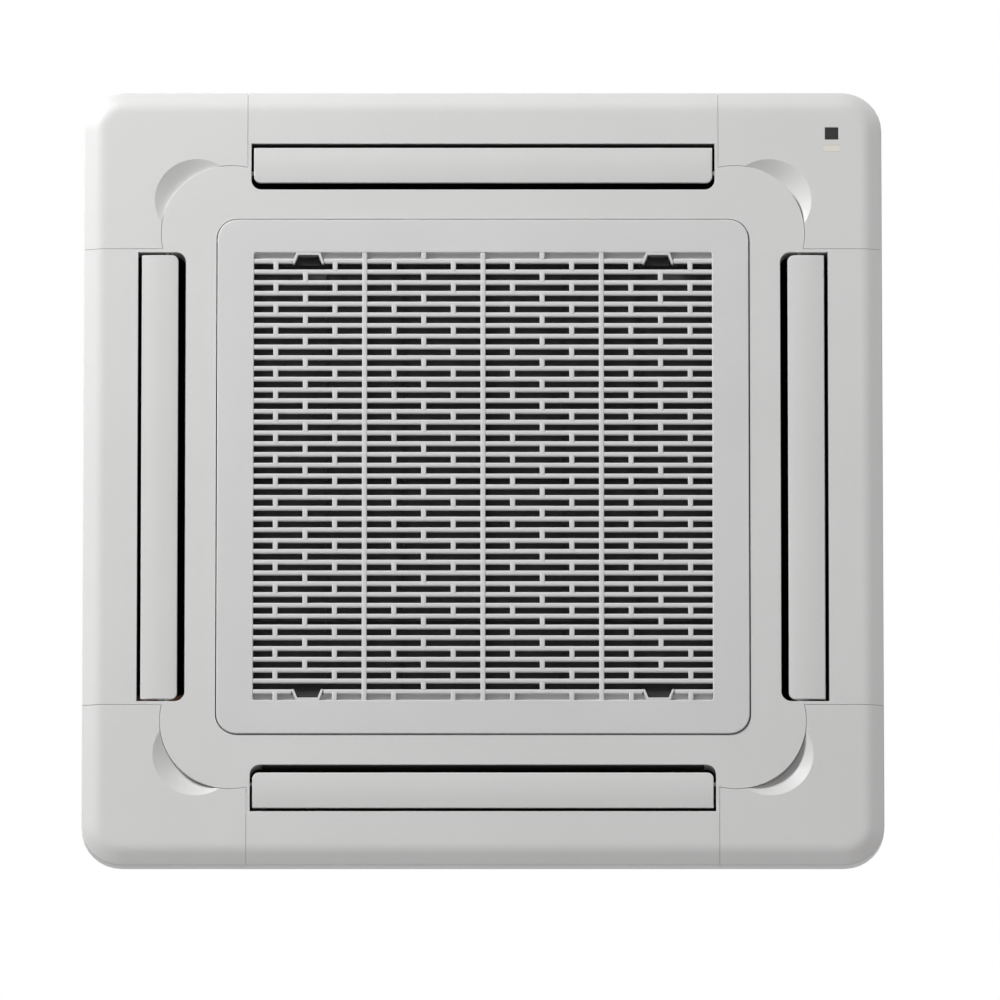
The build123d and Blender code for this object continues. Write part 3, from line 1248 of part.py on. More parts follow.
with BuildPart() as turbo_fan:
    with BuildSketch(level(BLADE_START)):
        with PolarLocations(0, FAN_BLADES):
            add(fan_blade.sketch)
    extrude(amount=FAN_PLATE_HEIGHT - BLADE_START)
    # the shroud's middle line trims the blades
    with BuildSketch(MERIDIAN):
        with BuildLine():
            trim = shroud_curve(SHROUD_WALL / 2)
            rim = shroud_tip(trim)
            Polyline(
                trim @ 1,
                rim,
                (FAN_RADIUS, FAN_PLATE_HEIGHT),
                (0, FAN_PLATE_HEIGHT),
                (0, SHROUD_START),
                trim @ 0,
            )
        make_face()
    revolve(axis=Axis.Z, mode=Mode.INTERSECT)
    with BuildSketch(MERIDIAN):
        with BuildLine():
            air_side = shroud_curve(0)
            back_side = shroud_curve(SHROUD_WALL)
            Polyline(air_side @ 1, shroud_tip(air_side), shroud_tip(back_side), back_side @ 1)
            Line(air_side @ 0, back_side @ 0)
        make_face()
    revolve(axis=Axis.Z)
    with BuildSketch(MERIDIAN):
        with BuildLine():
            inside = CUP_RADIUS - FAN_WALL
            bore = SHAFT_RADIUS + FIT
            Polyline(
                (bore, HUB_BOSS_BOTTOM),
                (HUB_BOSS_RADIUS, HUB_BOSS_BOTTOM),
                (HUB_BOSS_RADIUS, CUP_FLOOR),
                (CUP_RADIUS, CUP_FLOOR),
                (CUP_RADIUS, FAN_PLATE_HEIGHT),
                (FAN_RADIUS, FAN_PLATE_HEIGHT),
                (FAN_RADIUS, FAN_PLATE_HEIGHT + FAN_WALL),
                (inside, FAN_PLATE_HEIGHT + FAN_WALL),
                (inside, CUP_FLOOR + FAN_WALL),
                (bore, CUP_FLOOR + FAN_WALL),
                close=True,
            )
        make_face()
    revolve(axis=Axis.Z)
    # holes that let air past the motor
    with BuildSketch(level(CUP_FLOOR)):
        with PolarLocations((CUP_RADIUS + HUB_BOSS_RADIUS) / 2, 6):
            Circle(COOLING_HOLE)
    extrude(amount=FAN_WALL, mode=Mode.SUBTRACT)
save(turbo_fan, "turbo_fan")

with BuildPart() as fan_nut:
    with BuildSketch(level(HUB_BOSS_BOTTOM)):
        add(hex_nut(FAN_NUT_HEX, SHAFT_RADIUS + FIT))
    extrude(amount=-FAN_NUT_HEIGHT)
save(fan_nut, "fan_nut")

with BuildPart() as motor_shaft:
    with BuildSketch(level(SHAFT_BOTTOM)):
        Circle(SHAFT_RADIUS)
    extrude(amount=SHAFT_TOP - SHAFT_BOTTOM)
    with BuildSketch(level(CUP_FLOOR + FAN_WALL)):
        Circle(SHAFT_RADIUS + 3)
    extrude(amount=FAN_WALL)
save(motor_shaft, "motor_shaft")

# ---------------------------------------------------------------- fan motor and its mounts
EAR_BOTTOM = FAN_MOTOR_TOP - EAR_THICKNESS
ROOF = CASING_TOP - SHEET

with BuildPart() as fan_motor:
    with BuildSketch(level(FAN_MOTOR_BOTTOM)):
        Circle(FAN_MOTOR_RADIUS)
    extrude(amount=FAN_MOTOR_TOP - FAN_MOTOR_BOTTOM)
    fillet(fan_motor.edges().group_by(Axis.Z)[0], FAN_WALL)
    with BuildSketch(level(EAR_BOTTOM)):
        with PolarLocations(EAR_CIRCLE / 2, 4, start_angle=45):
            Rectangle(EAR_CIRCLE, 2 * EAR_RADIUS)
        with PolarLocations(EAR_CIRCLE, 4, start_angle=45):
            Circle(EAR_RADIUS)
    extrude(amount=EAR_THICKNESS)
    with BuildSketch(level(EAR_BOTTOM)):
        with PolarLocations(EAR_CIRCLE, 4, start_angle=45):
            Circle(STUD_RADIUS + SCREW_PLAY)
    extrude(amount=EAR_THICKNESS, mode=Mode.SUBTRACT)
    with BuildSketch(level(FAN_MOTOR_BOTTOM)):
        Circle(SHAFT_RADIUS + FIT)
    extrude(amount=SHAFT_TOP + GAP - FAN_MOTOR_BOTTOM, mode=Mode.SUBTRACT)
save(fan_motor, "fan_motor")

with BuildPart() as motor_mounts:
    with BuildSketch(level(FAN_MOTOR_TOP)):
        with PolarLocations(EAR_CIRCLE, 4, start_angle=45):
            Circle(MOUNT_RADIUS)
            Circle(STUD_RADIUS + FIT, mode=Mode.SUBTRACT)
    extrude(amount=ROOF - FAN_MOTOR_TOP)
save(motor_mounts, "motor_mounts")

with BuildPart() as motor_studs:
    with BuildSketch(level(ROOF)):
        with PolarLocations(EAR_CIRCLE, 4, start_angle=45):
            Circle(STUD_RADIUS)
    extrude(amount=-STUD_LENGTH)
save(motor_studs, "motor_studs")

with BuildPart() as motor_nuts:
    with BuildSketch(level(EAR_BOTTOM)):
        with PolarLocations(EAR_CIRCLE, 4, start_angle=45):
            add(hex_nut(STUD_NUT_HEX, STUD_RADIUS + FIT))
    extrude(amount=-STUD_NUT_HEIGHT)
save(motor_nuts, "motor_nuts")

# ---------------------------------------------------------------- drain pump and float switch
FLOAT_STOP = FLOAT_BOTTOM + FLOAT_HEIGHT + FLOAT_TRAVEL + GAP

with BuildPart() as drain_pump:
    for radius, start, end in (
        (PUMP_RADIUS, PUMP_BOTTOM, PUMP_TOP),
        (VOLUTE_RADIUS, VOLUTE_BOTTOM, PUMP_BOTTOM),
        (INTAKE_RADIUS, INTAKE_BOTTOM, VOLUTE_BOTTOM),
    ):
        with BuildSketch(level(start)):
            with Locations((SUMP_X, SUMP_Y)):
                Circle(radius)
        extrude(amount=end - start)
    with BuildSketch(level(INTAKE_BOTTOM)):
        with Locations((SUMP_X, SUMP_Y)):
            Circle(INTAKE_RADIUS - INTAKE_WALL)
    extrude(amount=VOLUTE_BOTTOM - INTAKE_BOTTOM, mode=Mode.SUBTRACT)
    with BuildSketch(level(VOLUTE_BOTTOM)):
        with Locations((SUMP_X, SUMP_Y)):
            Circle(PIN_RADIUS + FIT)
    extrude(amount=PUMP_SHAFT_TOP + GAP - VOLUTE_BOTTOM, mode=Mode.SUBTRACT)
    # outlet nozzle
    with BuildSketch(Plane.YZ.offset(SUMP_X + PUMP_RADIUS - 6)):
        with Locations((SUMP_Y, FACE_Z + HOSE_START)):
            Circle(HOSE_RADIUS)
    extrude(amount=NOZZLE + 6)
save(drain_pump, "drain_pump")

with BuildPart() as pump_impeller:
    with BuildSketch(level(IMPELLER_BOTTOM)):
        with Locations((SUMP_X, SUMP_Y)):
            Circle(PIN_RADIUS + 1.5)
            with PolarLocations(IMPELLER_RADIUS / 2, 4):
                Rectangle(IMPELLER_RADIUS, IMPELLER_VANE)
    extrude(amount=IMPELLER_HEIGHT)
    with BuildSketch(level(IMPELLER_BOTTOM)):
        with Locations((SUMP_X, SUMP_Y)):
            Circle(PIN_RADIUS)
    extrude(amount=PUMP_SHAFT_TOP - IMPELLER_BOTTOM)
save(pump_impeller, "pump_impeller")

with BuildPart() as pump_bracket:
    with BuildSketch(level(PUMP_TOP)):
        with Locations((-PLATE_FACE, SUMP_Y)):
            plate_length = PUMP_RADIUS - SUMP_X - PLATE_FACE
            Rectangle(plate_length, 2 * VOLUTE_RADIUS, align=(Align.MAX, Align.CENTER))
        with Locations((HOSE_X, SUMP_Y)):
            Circle(HOSE_RADIUS + 1, mode=Mode.SUBTRACT)
    extrude(amount=PUMP_PLATE)
save(pump_bracket, "pump_bracket")

with BuildPart() as drain_pipe:
    with BuildLine() as route:
        FilletPolyline(
            (SUMP_X + PUMP_RADIUS + NOZZLE, SUMP_Y, FACE_Z + HOSE_START),
            (HOSE_X, SUMP_Y, FACE_Z + HOSE_START),
            (HOSE_X, SUMP_Y, PORT_Z),
            (HOSE_X, DRAIN_START, PORT_Z),
            radius=HOSE_BEND,
        )
    with BuildSketch(Plane(route.line @ 0, z_dir=route.line % 0)):
        Circle(HOSE_RADIUS)
        Circle(HOSE_RADIUS - HOSE_WALL, mode=Mode.SUBTRACT)
    sweep()
    for radius, start, end in (
        (DRAIN_RADIUS + 4, WALL_SIDE, DRAIN_START),
        (DRAIN_RADIUS, DRAIN_START, DRAIN_END),
    ):
        with BuildSketch(Plane.XZ.offset(-start)):
            with Locations((HOSE_X, PORT_Z)):
                Circle(radius)
                Circle(HOSE_RADIUS - HOSE_WALL, mode=Mode.SUBTRACT)
        extrude(amount=start - end)
save(drain_pipe, "drain_pipe")

with BuildPart() as float_switch:
    for radius, start, end in (
        (STEM_RADIUS, FLOAT_BOTTOM - STEM_COLLAR, PUMP_TOP),
        (STEM_COLLAR_RADIUS, FLOAT_BOTTOM - STEM_COLLAR, FLOAT_BOTTOM),
        (STEM_COLLAR_RADIUS, FLOAT_STOP, PUMP_TOP),
    ):
        with BuildSketch(level(start)):
            with Locations((FLOAT_X, SUMP_Y)):
                Circle(radius)
        extrude(amount=end - start)
save(float_switch, "float_switch")

with BuildPart() as switch_float:
    with BuildSketch(level(FLOAT_BOTTOM)):
        with Locations((FLOAT_X, SUMP_Y)):
            Circle(FLOAT_RADIUS)
            Circle(STEM_RADIUS + FIT, mode=Mode.SUBTRACT)
    extrude(amount=FLOAT_HEIGHT)
save(switch_float, "switch_float")
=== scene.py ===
import json
from math import cos, pi, radians, sin

import bmesh
import bpy
from mathutils import Matrix, Vector


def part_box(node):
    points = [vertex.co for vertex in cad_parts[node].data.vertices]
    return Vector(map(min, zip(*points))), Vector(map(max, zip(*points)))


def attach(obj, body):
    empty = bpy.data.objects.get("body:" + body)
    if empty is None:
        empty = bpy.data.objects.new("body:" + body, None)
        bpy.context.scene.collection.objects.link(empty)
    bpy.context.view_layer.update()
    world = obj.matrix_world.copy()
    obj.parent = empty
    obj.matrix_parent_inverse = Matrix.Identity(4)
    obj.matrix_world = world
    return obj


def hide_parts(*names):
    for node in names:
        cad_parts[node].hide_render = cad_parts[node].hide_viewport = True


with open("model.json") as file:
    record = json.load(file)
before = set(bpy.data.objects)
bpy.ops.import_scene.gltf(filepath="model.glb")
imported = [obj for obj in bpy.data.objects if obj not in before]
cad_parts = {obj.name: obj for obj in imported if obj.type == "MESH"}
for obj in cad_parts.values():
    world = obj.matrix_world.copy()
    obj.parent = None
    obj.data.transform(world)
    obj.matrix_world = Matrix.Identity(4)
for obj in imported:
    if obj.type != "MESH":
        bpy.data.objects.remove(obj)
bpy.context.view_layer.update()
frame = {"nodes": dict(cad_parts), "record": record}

# ------------------------------------------------------------------ studio
# The unit hangs in the air over a pale floor. The camera stands far below it and a little to the
# front, so it looks almost straight up at the panel. The floor is one-sided and lets it see through.
MM = 0.001
FACE_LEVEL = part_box("panel_frame")[0].z
CEILING_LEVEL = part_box("panel_frame")[1].z
PICTURE_WIDTH = 1187.5 * MM  # what the picture spans at the panel's face
AIM_RIGHT, AIM_DOWN = 20.2 * MM, 28.5 * MM  # the picture's middle from the panel's middle
VIEW_TILT = radians(15)
LENS, SENSOR = 800, 36
NEAREST, FARTHEST = 1, 100
FLOOR_DROP, FLOOR_RADIUS = 4200 * MM, 14
CEILING_SIDE, CEILING_HOLE = 9, 860 * MM
AIR_LIGHT, AIR_SEEN = 0.46, 1.0  # how bright the air is for the light on the unit and to look at
FLOOR_LIT, FLOOR_SEEN = 0.4, 0.92  # the floor's shade for the light on the unit and to look at
FLOOR_GLOW = 0.55  # how much of what is seen of the floor glows by itself
WHITE = (1, 1, 1, 1)

scene = bpy.context.scene
scene.view_settings.view_transform = "Standard"

camera = bpy.data.objects.new("camera", bpy.data.cameras.new("camera"))
camera.data.lens, camera.data.sensor_width = LENS, SENSOR
camera.data.clip_start, camera.data.clip_end = NEAREST, FARTHEST
scene.collection.objects.link(camera)
scene.camera = camera
view_forward = Vector((0, -sin(VIEW_TILT), cos(VIEW_TILT)))
view_up = Vector((0, -cos(VIEW_TILT), -sin(VIEW_TILT)))
view_right = view_forward.cross(view_up)
aim = Vector((0, 0, FACE_LEVEL)) + view_right * AIM_RIGHT - view_up * AIM_DOWN
camera_turn = Matrix((view_right, view_up, -view_forward)).transposed().to_4x4()
camera.matrix_world = Matrix.Translation(aim - view_forward * PICTURE_WIDTH * LENS / SENSOR) @ camera_turn


def place(tree, kind, sockets=None, **settings):
    """Adds a node to a tree. A socket is given a number or another node's output."""
    node = tree.nodes.new(kind)
    for name, value in settings.items():
        setattr(node, name, value)
    for key, value in (sockets or {}).items():
        if isinstance(value, bpy.types.NodeSocket):
            tree.links.new(value, node.inputs[key])
        else:
            node.inputs[key].default_value = value
    return node


def lamp(name, spot, size, power, tint=(1, 1, 1)):
    """A square soft lamp that faces the unit, with its place and size in metres."""
    light = bpy.data.lights.new(name, "AREA")
    light.size, light.energy, light.color = size, power, tint
    holder = bpy.data.objects.new(name, light)
    holder.location = spot
    holder.rotation_euler = (-Vector(spot)).to_track_quat("-Z", "Y").to_euler()
    scene.collection.objects.link(holder)


lamp("key_lamp", spot=(-4.0, -4.3, -3.8), size=1.5, power=500)
lamp("fill_lamp", spot=(2.2, 1.4, -2.2), size=2.0, power=7, tint=(1.0, 0.88, 0.90))
lamp("top_lamp", spot=(1.6, -2.2, 3.0), size=2.0, power=12)
lamp("back_lamp", spot=(-2.4, 2.2, 1.8), size=2.0, power=10)

world = bpy.data.worlds.new("studio")
world.use_nodes = True
scene.world = world
air = world.node_tree
air.nodes.clear()
path = place(air, "ShaderNodeLightPath")
seen = place(air, "ShaderNodeMath", {0: path.outputs["Is Camera Ray"], 1: path.outputs["Is Glossy Ray"]},
             operation="MAXIMUM")
seen = place(air, "ShaderNodeMath", {0: seen.outputs[0], 1: path.outputs["Is Transmission Ray"]},
             operation="MAXIMUM")
dim_air = place(air, "ShaderNodeBackground", {"Color": WHITE, "Strength": AIR_LIGHT})
white_air = place(air, "ShaderNodeBackground", {"Color": WHITE, "Strength": AIR_SEEN})
either = place(air, "ShaderNodeMixShader",
               {0: seen.outputs[0], 1: dim_air.outputs[0], 2: white_air.outputs[0]})
place(air, "ShaderNodeOutputWorld", {"Surface": either.outputs[0]})


def stage_piece(name, shape):
    """A piece of the studio, and the empty node tree of its paint."""
    mesh = bpy.data.meshes.new(name)
    shape.to_mesh(mesh)
    shape.free()
    piece = bpy.data.objects.new(name, mesh)
    scene.collection.objects.link(piece)
    paint = bpy.data.materials.new(name + "_paint")
    paint.use_nodes = True
    paint.node_tree.nodes.clear()
    mesh.materials.append(paint)
    return piece, paint.node_tree


disk = bmesh.new()
bmesh.ops.create_circle(disk, cap_ends=True, segments=96, radius=FLOOR_RADIUS)
bmesh.ops.translate(disk, verts=disk.verts, vec=(0, 0, FACE_LEVEL - FLOOR_DROP))
floor, coat = stage_piece("floor", disk)
side = place(coat, "ShaderNodeNewGeometry")
path = place(coat, "ShaderNodeLightPath")
pale = place(coat, "ShaderNodeMapRange",
             {"Value": path.outputs["Is Camera Ray"], "To Min": FLOOR_LIT, "To Max": FLOOR_SEEN})
matt = place(coat, "ShaderNodeBsdfDiffuse", {"Color": pale.outputs[0]})
glow = place(coat, "ShaderNodeEmission", {"Color": WHITE, "Strength": 1.0})
share = place(coat, "ShaderNodeMath", {0: path.outputs["Is Camera Ray"], 1: FLOOR_GLOW},
              operation="MULTIPLY")
front = place(coat, "ShaderNodeMixShader", {0: share.outputs[0], 1: matt.outputs[0], 2: glow.outputs[0]})
clear = place(coat, "ShaderNodeBsdfTransparent")
sided = place(coat, "ShaderNodeMixShader",
              {0: side.outputs["Backfacing"], 1: front.outputs[0], 2: clear.outputs[0]})
place(coat, "ShaderNodeOutputMaterial", {"Surface": sided.outputs[0]})


def square_corners(half):
    """Corners of a square round the middle, in turn."""
    return [(half, half), (-half, half), (-half, -half), (half, -half)]


# The ceiling is as white as the air beside it. It shows to the camera from below and to nothing else.
board = bmesh.new()
inside = [board.verts.new((x, y, CEILING_LEVEL)) for x, y in square_corners(CEILING_HOLE / 2)]
outside = [board.verts.new((x, y, CEILING_LEVEL)) for x, y in square_corners(CEILING_SIDE / 2)]
for index in range(4):
    after = (index + 1) % 4
    board.faces.new((inside[index], inside[after], outside[after], outside[index]))
ceiling, coat = stage_piece("ceiling", board)
side = place(coat, "ShaderNodeNewGeometry")
path = place(coat, "ShaderNodeLightPath")
below = place(coat, "ShaderNodeMath", {0: 1.0, 1: side.outputs["Backfacing"]}, operation="SUBTRACT")
share = place(coat, "ShaderNodeMath", {0: path.outputs["Is Camera Ray"], 1: below.outputs[0]},
              operation="MULTIPLY")
clear = place(coat, "ShaderNodeBsdfTransparent")
glow = place(coat, "ShaderNodeEmission", {"Color": WHITE, "Strength": 1.0})
sided = place(coat, "ShaderNodeMixShader", {0: share.outputs[0], 1: clear.outputs[0], 2: glow.outputs[0]})
place(coat, "ShaderNodeOutputMaterial", {"Surface": sided.outputs[0]})

# ------------------------------------------------------------------ casing
# A box of galvanised sheet steel with cut corners, closed on top and open below. Its walls are folded
# sheet, and its top is pressed with a ring and spokes that stiffen it. Screws with hexagon heads and
# washers hold the walls to the top and to the pan, and four brackets hang it from the ceiling's rods.
SCREW_COLUMNS, SCREW_STEP = 4, 160
SCREW_ABOVE_RIM, SCREW_ROW_STEP = 16, 216
SCREW_TAPER = 0.94
WASHER, HEXAGON = (28, 5.0, 0.8), (6, 4.0, 3.2)  # sides, radius, height
ZINC_DARKEST, ZINC_PALEST, ZINC_DUST = 0.53, 0.67, 0.25
WELD = 1e-6  # corners nearer than this are one, in metres
FLAT, SMOOTH, SHARP = radians(0.3), radians(12), radians(28)  # how far faces turn at an edge

BODY_OF = {node: body for body, nodes in frame["record"]["behaviour"]["bodies"].items() for node in nodes}


def fit(piece, node):
    """The finished piece stands for its CAD node and moves with its body."""
    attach(piece, BODY_OF[node])
    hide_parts(node)


def fix_to(piece, neighbour):
    """A piece without a CAD node moves with the neighbour that carries it."""
    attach(piece, BODY_OF[neighbour])


def piece_from(mesh, name, material=None):
    """An object that shows a mesh, in a material if one is given."""
    piece = bpy.data.objects.new(name, mesh)
    scene.collection.objects.link(piece)
    if material:
        mesh.materials.append(material)
    return piece


def applied(holder):
    """The plain mesh that an object's modifiers make. The object is removed."""
    mesh = bpy.data.meshes.new_from_object(holder.evaluated_get(bpy.context.evaluated_depsgraph_get()))
    bpy.data.objects.remove(holder)
    return mesh


def softened(node, width, material, steps=2, within=None):
    """A CAD piece with its edges rounded over by width millimetres, as the mould or the press leaves
    them. It is first trimmed to the shape within, if there is one."""
    mesh = frame["nodes"][node].data.copy()
    mesh.materials.clear()
    if within:
        holder = piece_from(mesh, "trimmed")
        trim = holder.modifiers.new("trim", "BOOLEAN")
        trim.operation, trim.solver, trim.object = "INTERSECT", "EXACT", within
        mesh = applied(holder)
        mesh.materials.clear()
    shape = bmesh.new()
    shape.from_mesh(mesh)
    bmesh.ops.remove_doubles(shape, verts=shape.verts, dist=WELD)
    bmesh.ops.dissolve_limit(shape, angle_limit=FLAT, verts=shape.verts, edges=shape.edges)
    for edge in shape.edges:
        edge.smooth = len(edge.link_faces) == 2 and edge.calc_face_angle() < SMOOTH
    if width:
        crisp = [edge for edge in shape.edges
                 if len(edge.link_faces) == 2 and edge.calc_face_angle() > SHARP]
        bmesh.ops.bevel(shape, geom=crisp, offset=width * MM, segments=steps, profile=0.5, affect="EDGES")
    for face in shape.faces:
        face.smooth = True
    shape.to_mesh(mesh)
    shape.free()
    piece = piece_from(mesh, node + "_finished", material)
    piece.modifiers.new("even_shading", "WEIGHTED_NORMAL").keep_sharp = True
    fit(piece, node)


def new_group(name, inputs, outputs):
    """An empty shader group. Inputs are (kind, name, default), outputs are (kind, name)."""
    group = bpy.data.node_groups.new(name, "ShaderNodeTree")
    for kind, label, default in inputs:
        group.interface.new_socket(label, in_out="INPUT", socket_type=kind).default_value = default
    for kind, label in outputs:
        group.interface.new_socket(label, in_out="OUTPUT", socket_type=kind)
    return group, group.nodes.new("NodeGroupInput").outputs, group.nodes.new("NodeGroupOutput")


NUMBER, COLOUR = "NodeSocketFloat", "NodeSocketColor"

# Slow drift between two colours, as in any paint, plating or moulding
drift, given, made = new_group(
    "colour_drift", [(COLOUR, "Colour", WHITE), (COLOUR, "Other colour", WHITE), (NUMBER, "Scale", 8.0)],
    [(COLOUR, "Colour")])
spot = place(drift, "ShaderNodeTexCoord")
cloud = place(drift, "ShaderNodeTexNoise",
              {"Vector": spot.outputs["Object"], "Scale": given["Scale"], "Detail": 4.0, "Roughness": 0.55})
cloud = place(drift, "ShaderNodeMapRange",
              {"Value": cloud.outputs["Fac"], "From Min": 0.32, "From Max": 0.68})
blended = place(drift, "ShaderNodeMix",
                {0: cloud.outputs[0], 6: given["Colour"], 7: given["Other colour"]}, data_type="RGBA")
drift.links.new(blended.outputs[2], made.inputs["Colour"])

# Fine surface grain, as an eroded mould or rolled sheet leaves it
grain, given, made = new_group(
    "fine_grain", [(NUMBER, "Scale", 1500.0), (NUMBER, "Coarse share", 0.35)], [(NUMBER, "Height")])
spot = place(grain, "ShaderNodeTexCoord")
fine = place(grain, "ShaderNodeTexNoise",
             {"Vector": spot.outputs["Object"], "Scale": given["Scale"], "Detail": 2.0, "Roughness": 0.6})
slow = place(grain, "ShaderNodeMath", {0: given["Scale"], 1: 0.03}, operation="MULTIPLY")
coarse = place(grain, "ShaderNodeTexNoise",
               {"Vector": spot.outputs["Object"], "Scale": slow.outputs[0], "Detail": 1.0})
height = place(grain, "ShaderNodeMix",
               {0: given["Coarse share"], 2: fine.outputs["Fac"], 3: coarse.outputs["Fac"]})
grain.links.new(height.outputs[0], made.inputs["Height"])

# Handling marks: short faint scratches that change the gloss
scuffs, given, made = new_group(
    "scuffs", [(NUMBER, "Scale", 20.0), (NUMBER, "Least", 0.4), (NUMBER, "Most", 0.5)],
    [(NUMBER, "Roughness")])
spot = place(scuffs, "ShaderNodeTexCoord")
streaks = place(scuffs, "ShaderNodeMapping", {"Vector": spot.outputs["Object"], "Scale": (1.0, 6.0, 3.0)})
streaks = place(scuffs, "ShaderNodeTexNoise",
                {"Vector": streaks.outputs[0], "Scale": given["Scale"], "Detail": 6.0, "Roughness": 0.7})
gloss = place(scuffs, "ShaderNodeMapRange",
              {"Value": streaks.outputs["Fac"], "From Min": 0.35, "From Max": 0.65,
               "To Min": given["Least"], "To Max": given["Most"]})
scuffs.links.new(gloss.outputs[0], made.inputs["Roughness"])

# Dust that settles on faces that look up
dusting, given, made = new_group(
    "settled_dust", [(COLOUR, "Colour", WHITE), (NUMBER, "Amount", 0.3)], [(COLOUR, "Colour")])
spot = place(dusting, "ShaderNodeTexCoord")
facing = place(dusting, "ShaderNodeNewGeometry")
facing = place(dusting, "ShaderNodeSeparateXYZ", {0: facing.outputs["Normal"]})
patches = place(dusting, "ShaderNodeTexNoise",
                {"Vector": spot.outputs["Object"], "Scale": 14.0, "Detail": 8.0})
patches = place(dusting, "ShaderNodeMapRange",
                {"Value": patches.outputs["Fac"], "From Min": 0.3, "From Max": 0.75})
lying = place(dusting, "ShaderNodeMath", {0: facing.outputs["Z"], 1: patches.outputs[0]},
              operation="MULTIPLY", use_clamp=True)
lying = place(dusting, "ShaderNodeMath", {0: lying.outputs[0], 1: given["Amount"]}, operation="MULTIPLY")
dusted = place(dusting, "ShaderNodeMix",
               {0: lying.outputs[0], 6: given["Colour"], 7: (0.34, 0.32, 0.29, 1)}, data_type="RGBA")
dusting.links.new(dusted.outputs[2], made.inputs["Colour"])


def use(tree, group, sockets):
    """Puts a shader group into a material."""
    return place(tree, "ShaderNodeGroup", sockets, node_tree=group)


def rgb(red, green, blue):
    """A colour as a socket takes it."""
    return (red, green, blue, 1)


def new_material(name, roughness=0.5, metallic=0.0):
    """A material, its node tree and its shader."""
    material = bpy.data.materials.new(name)
    material.use_nodes = True
    shader = material.node_tree.nodes["Principled BSDF"]
    shader.inputs["Roughness"].default_value = roughness
    shader.inputs["Metallic"].default_value = metallic
    return material, material.node_tree, shader


def coated(name, colour, other, roughness, metallic=0.0, drift_scale=8.0, grain_scale=1500.0,
           grain_depth=0.02):
    """A finish with drifting colour, changing gloss and fine grain. Roughness is (least, most), and
    the grain's depth is in millimetres."""
    material, tree, shader = new_material(name, metallic=metallic)
    tone = use(tree, drift, {"Colour": rgb(*colour), "Other colour": rgb(*other), "Scale": drift_scale})
    tree.links.new(tone.outputs["Colour"], shader.inputs["Base Color"])
    gloss = use(tree, scuffs, {"Least": roughness[0], "Most": roughness[1]})
    tree.links.new(gloss.outputs[0], shader.inputs["Roughness"])
    relief = use(tree, grain, {"Scale": grain_scale})
    bump = place(tree, "ShaderNodeBump",
                 {"Strength": 1.0, "Distance": grain_depth * MM, "Height": relief.outputs[0]})
    tree.links.new(bump.outputs[0], shader.inputs["Normal"])
    return material


def galvanised(name):
    """Zinc plated sheet: flat crystals of different grey, each with its own gloss."""
    material, tree, shader = new_material(name, metallic=0.45)
    spot = place(tree, "ShaderNodeTexCoord")
    warp = place(tree, "ShaderNodeTexNoise", {"Vector": spot.outputs["Object"], "Scale": 60.0})
    bent = place(tree, "ShaderNodeMix", {0: 0.012, 4: spot.outputs["Object"], 5: warp.outputs["Color"]},
                 data_type="VECTOR")
    spangle = place(tree, "ShaderNodeTexVoronoi", {"Vector": bent.outputs[1], "Scale": 85.0})
    level = place(tree, "ShaderNodeSeparateColor", {0: spangle.outputs["Color"]})
    tone = place(tree, "ShaderNodeMapRange",
                 {"Value": level.outputs[0], "To Min": ZINC_DARKEST, "To Max": ZINC_PALEST})
    tone = place(tree, "ShaderNodeCombineColor", {channel: tone.outputs[0] for channel in range(3)})
    dusty = use(tree, dusting, {"Colour": tone.outputs[0], "Amount": ZINC_DUST})
    tree.links.new(dusty.outputs[0], shader.inputs["Base Color"])
    gloss = place(tree, "ShaderNodeMapRange", {"Value": level.outputs[1], "To Min": 0.60, "To Max": 0.78})
    tree.links.new(gloss.outputs[0], shader.inputs["Roughness"])
    relief = use(tree, grain, {"Scale": 400.0, "Coarse share": 0.7})
    bump = place(tree, "ShaderNodeBump", {"Distance": 0.05 * MM, "Height": relief.outputs[0]})
    tree.links.new(bump.outputs[0], shader.inputs["Normal"])
    return material


def mesh_of(shape, name):
    """The finished mesh of a bmesh, with even normals."""
    bmesh.ops.recalc_face_normals(shape, faces=shape.faces)
    mesh = bpy.data.meshes.new(name)
    shape.to_mesh(mesh)
    shape.free()
    return mesh


# Copies of a mesh in columns and rows
repeat = bpy.data.node_groups.new("columns_and_rows", "GeometryNodeTree")
for kind, label in (("Geometry", "Mesh"), ("Int", "Columns"), ("Vector", "Across"), ("Int", "Rows"),
                    ("Vector", "Along"), ("Material", "Material")):
    repeat.interface.new_socket(label, in_out="INPUT", socket_type="NodeSocket" + kind)
repeat.interface.new_socket("Mesh", in_out="OUTPUT", socket_type="NodeSocketGeometry")
given, made = repeat.nodes.new("NodeGroupInput").outputs, repeat.nodes.new("NodeGroupOutput")
grown = given["Mesh"]
for count, way in (("Columns", "Across"), ("Rows", "Along")):
    line = place(repeat, "GeometryNodeMeshLine", {"Count": given[count], "Offset": given[way]})
    grown = place(repeat, "GeometryNodeInstanceOnPoints", {"Points": line.outputs[0], "Instance": grown})
    grown = place(repeat, "GeometryNodeRealizeInstances", {"Geometry": grown.outputs[0]}).outputs[0]
grown = place(repeat, "GeometryNodeSetMaterial", {"Geometry": grown, "Material": given["Material"]})
repeat.links.new(grown.outputs[0], made.inputs[0])


def repeated(mesh, material, columns=1, across=(0, 0, 0), rows=1, along=(0, 0, 0)):
    """A new mesh with copies of a mesh in columns and rows. Steps are in millimetres."""
    holder = piece_from(mesh, "repeated")
    step = holder.modifiers.new("copies", "NODES")
    step.node_group = repeat
    values = {"Columns": columns, "Across": Vector(across) * MM, "Rows": rows, "Along": Vector(along) * MM,
              "Material": material}
    for socket in repeat.interface.items_tree:
        if socket.in_out == "INPUT" and socket.name in values:
            step[socket.identifier] = values[socket.name]
    return applied(holder)


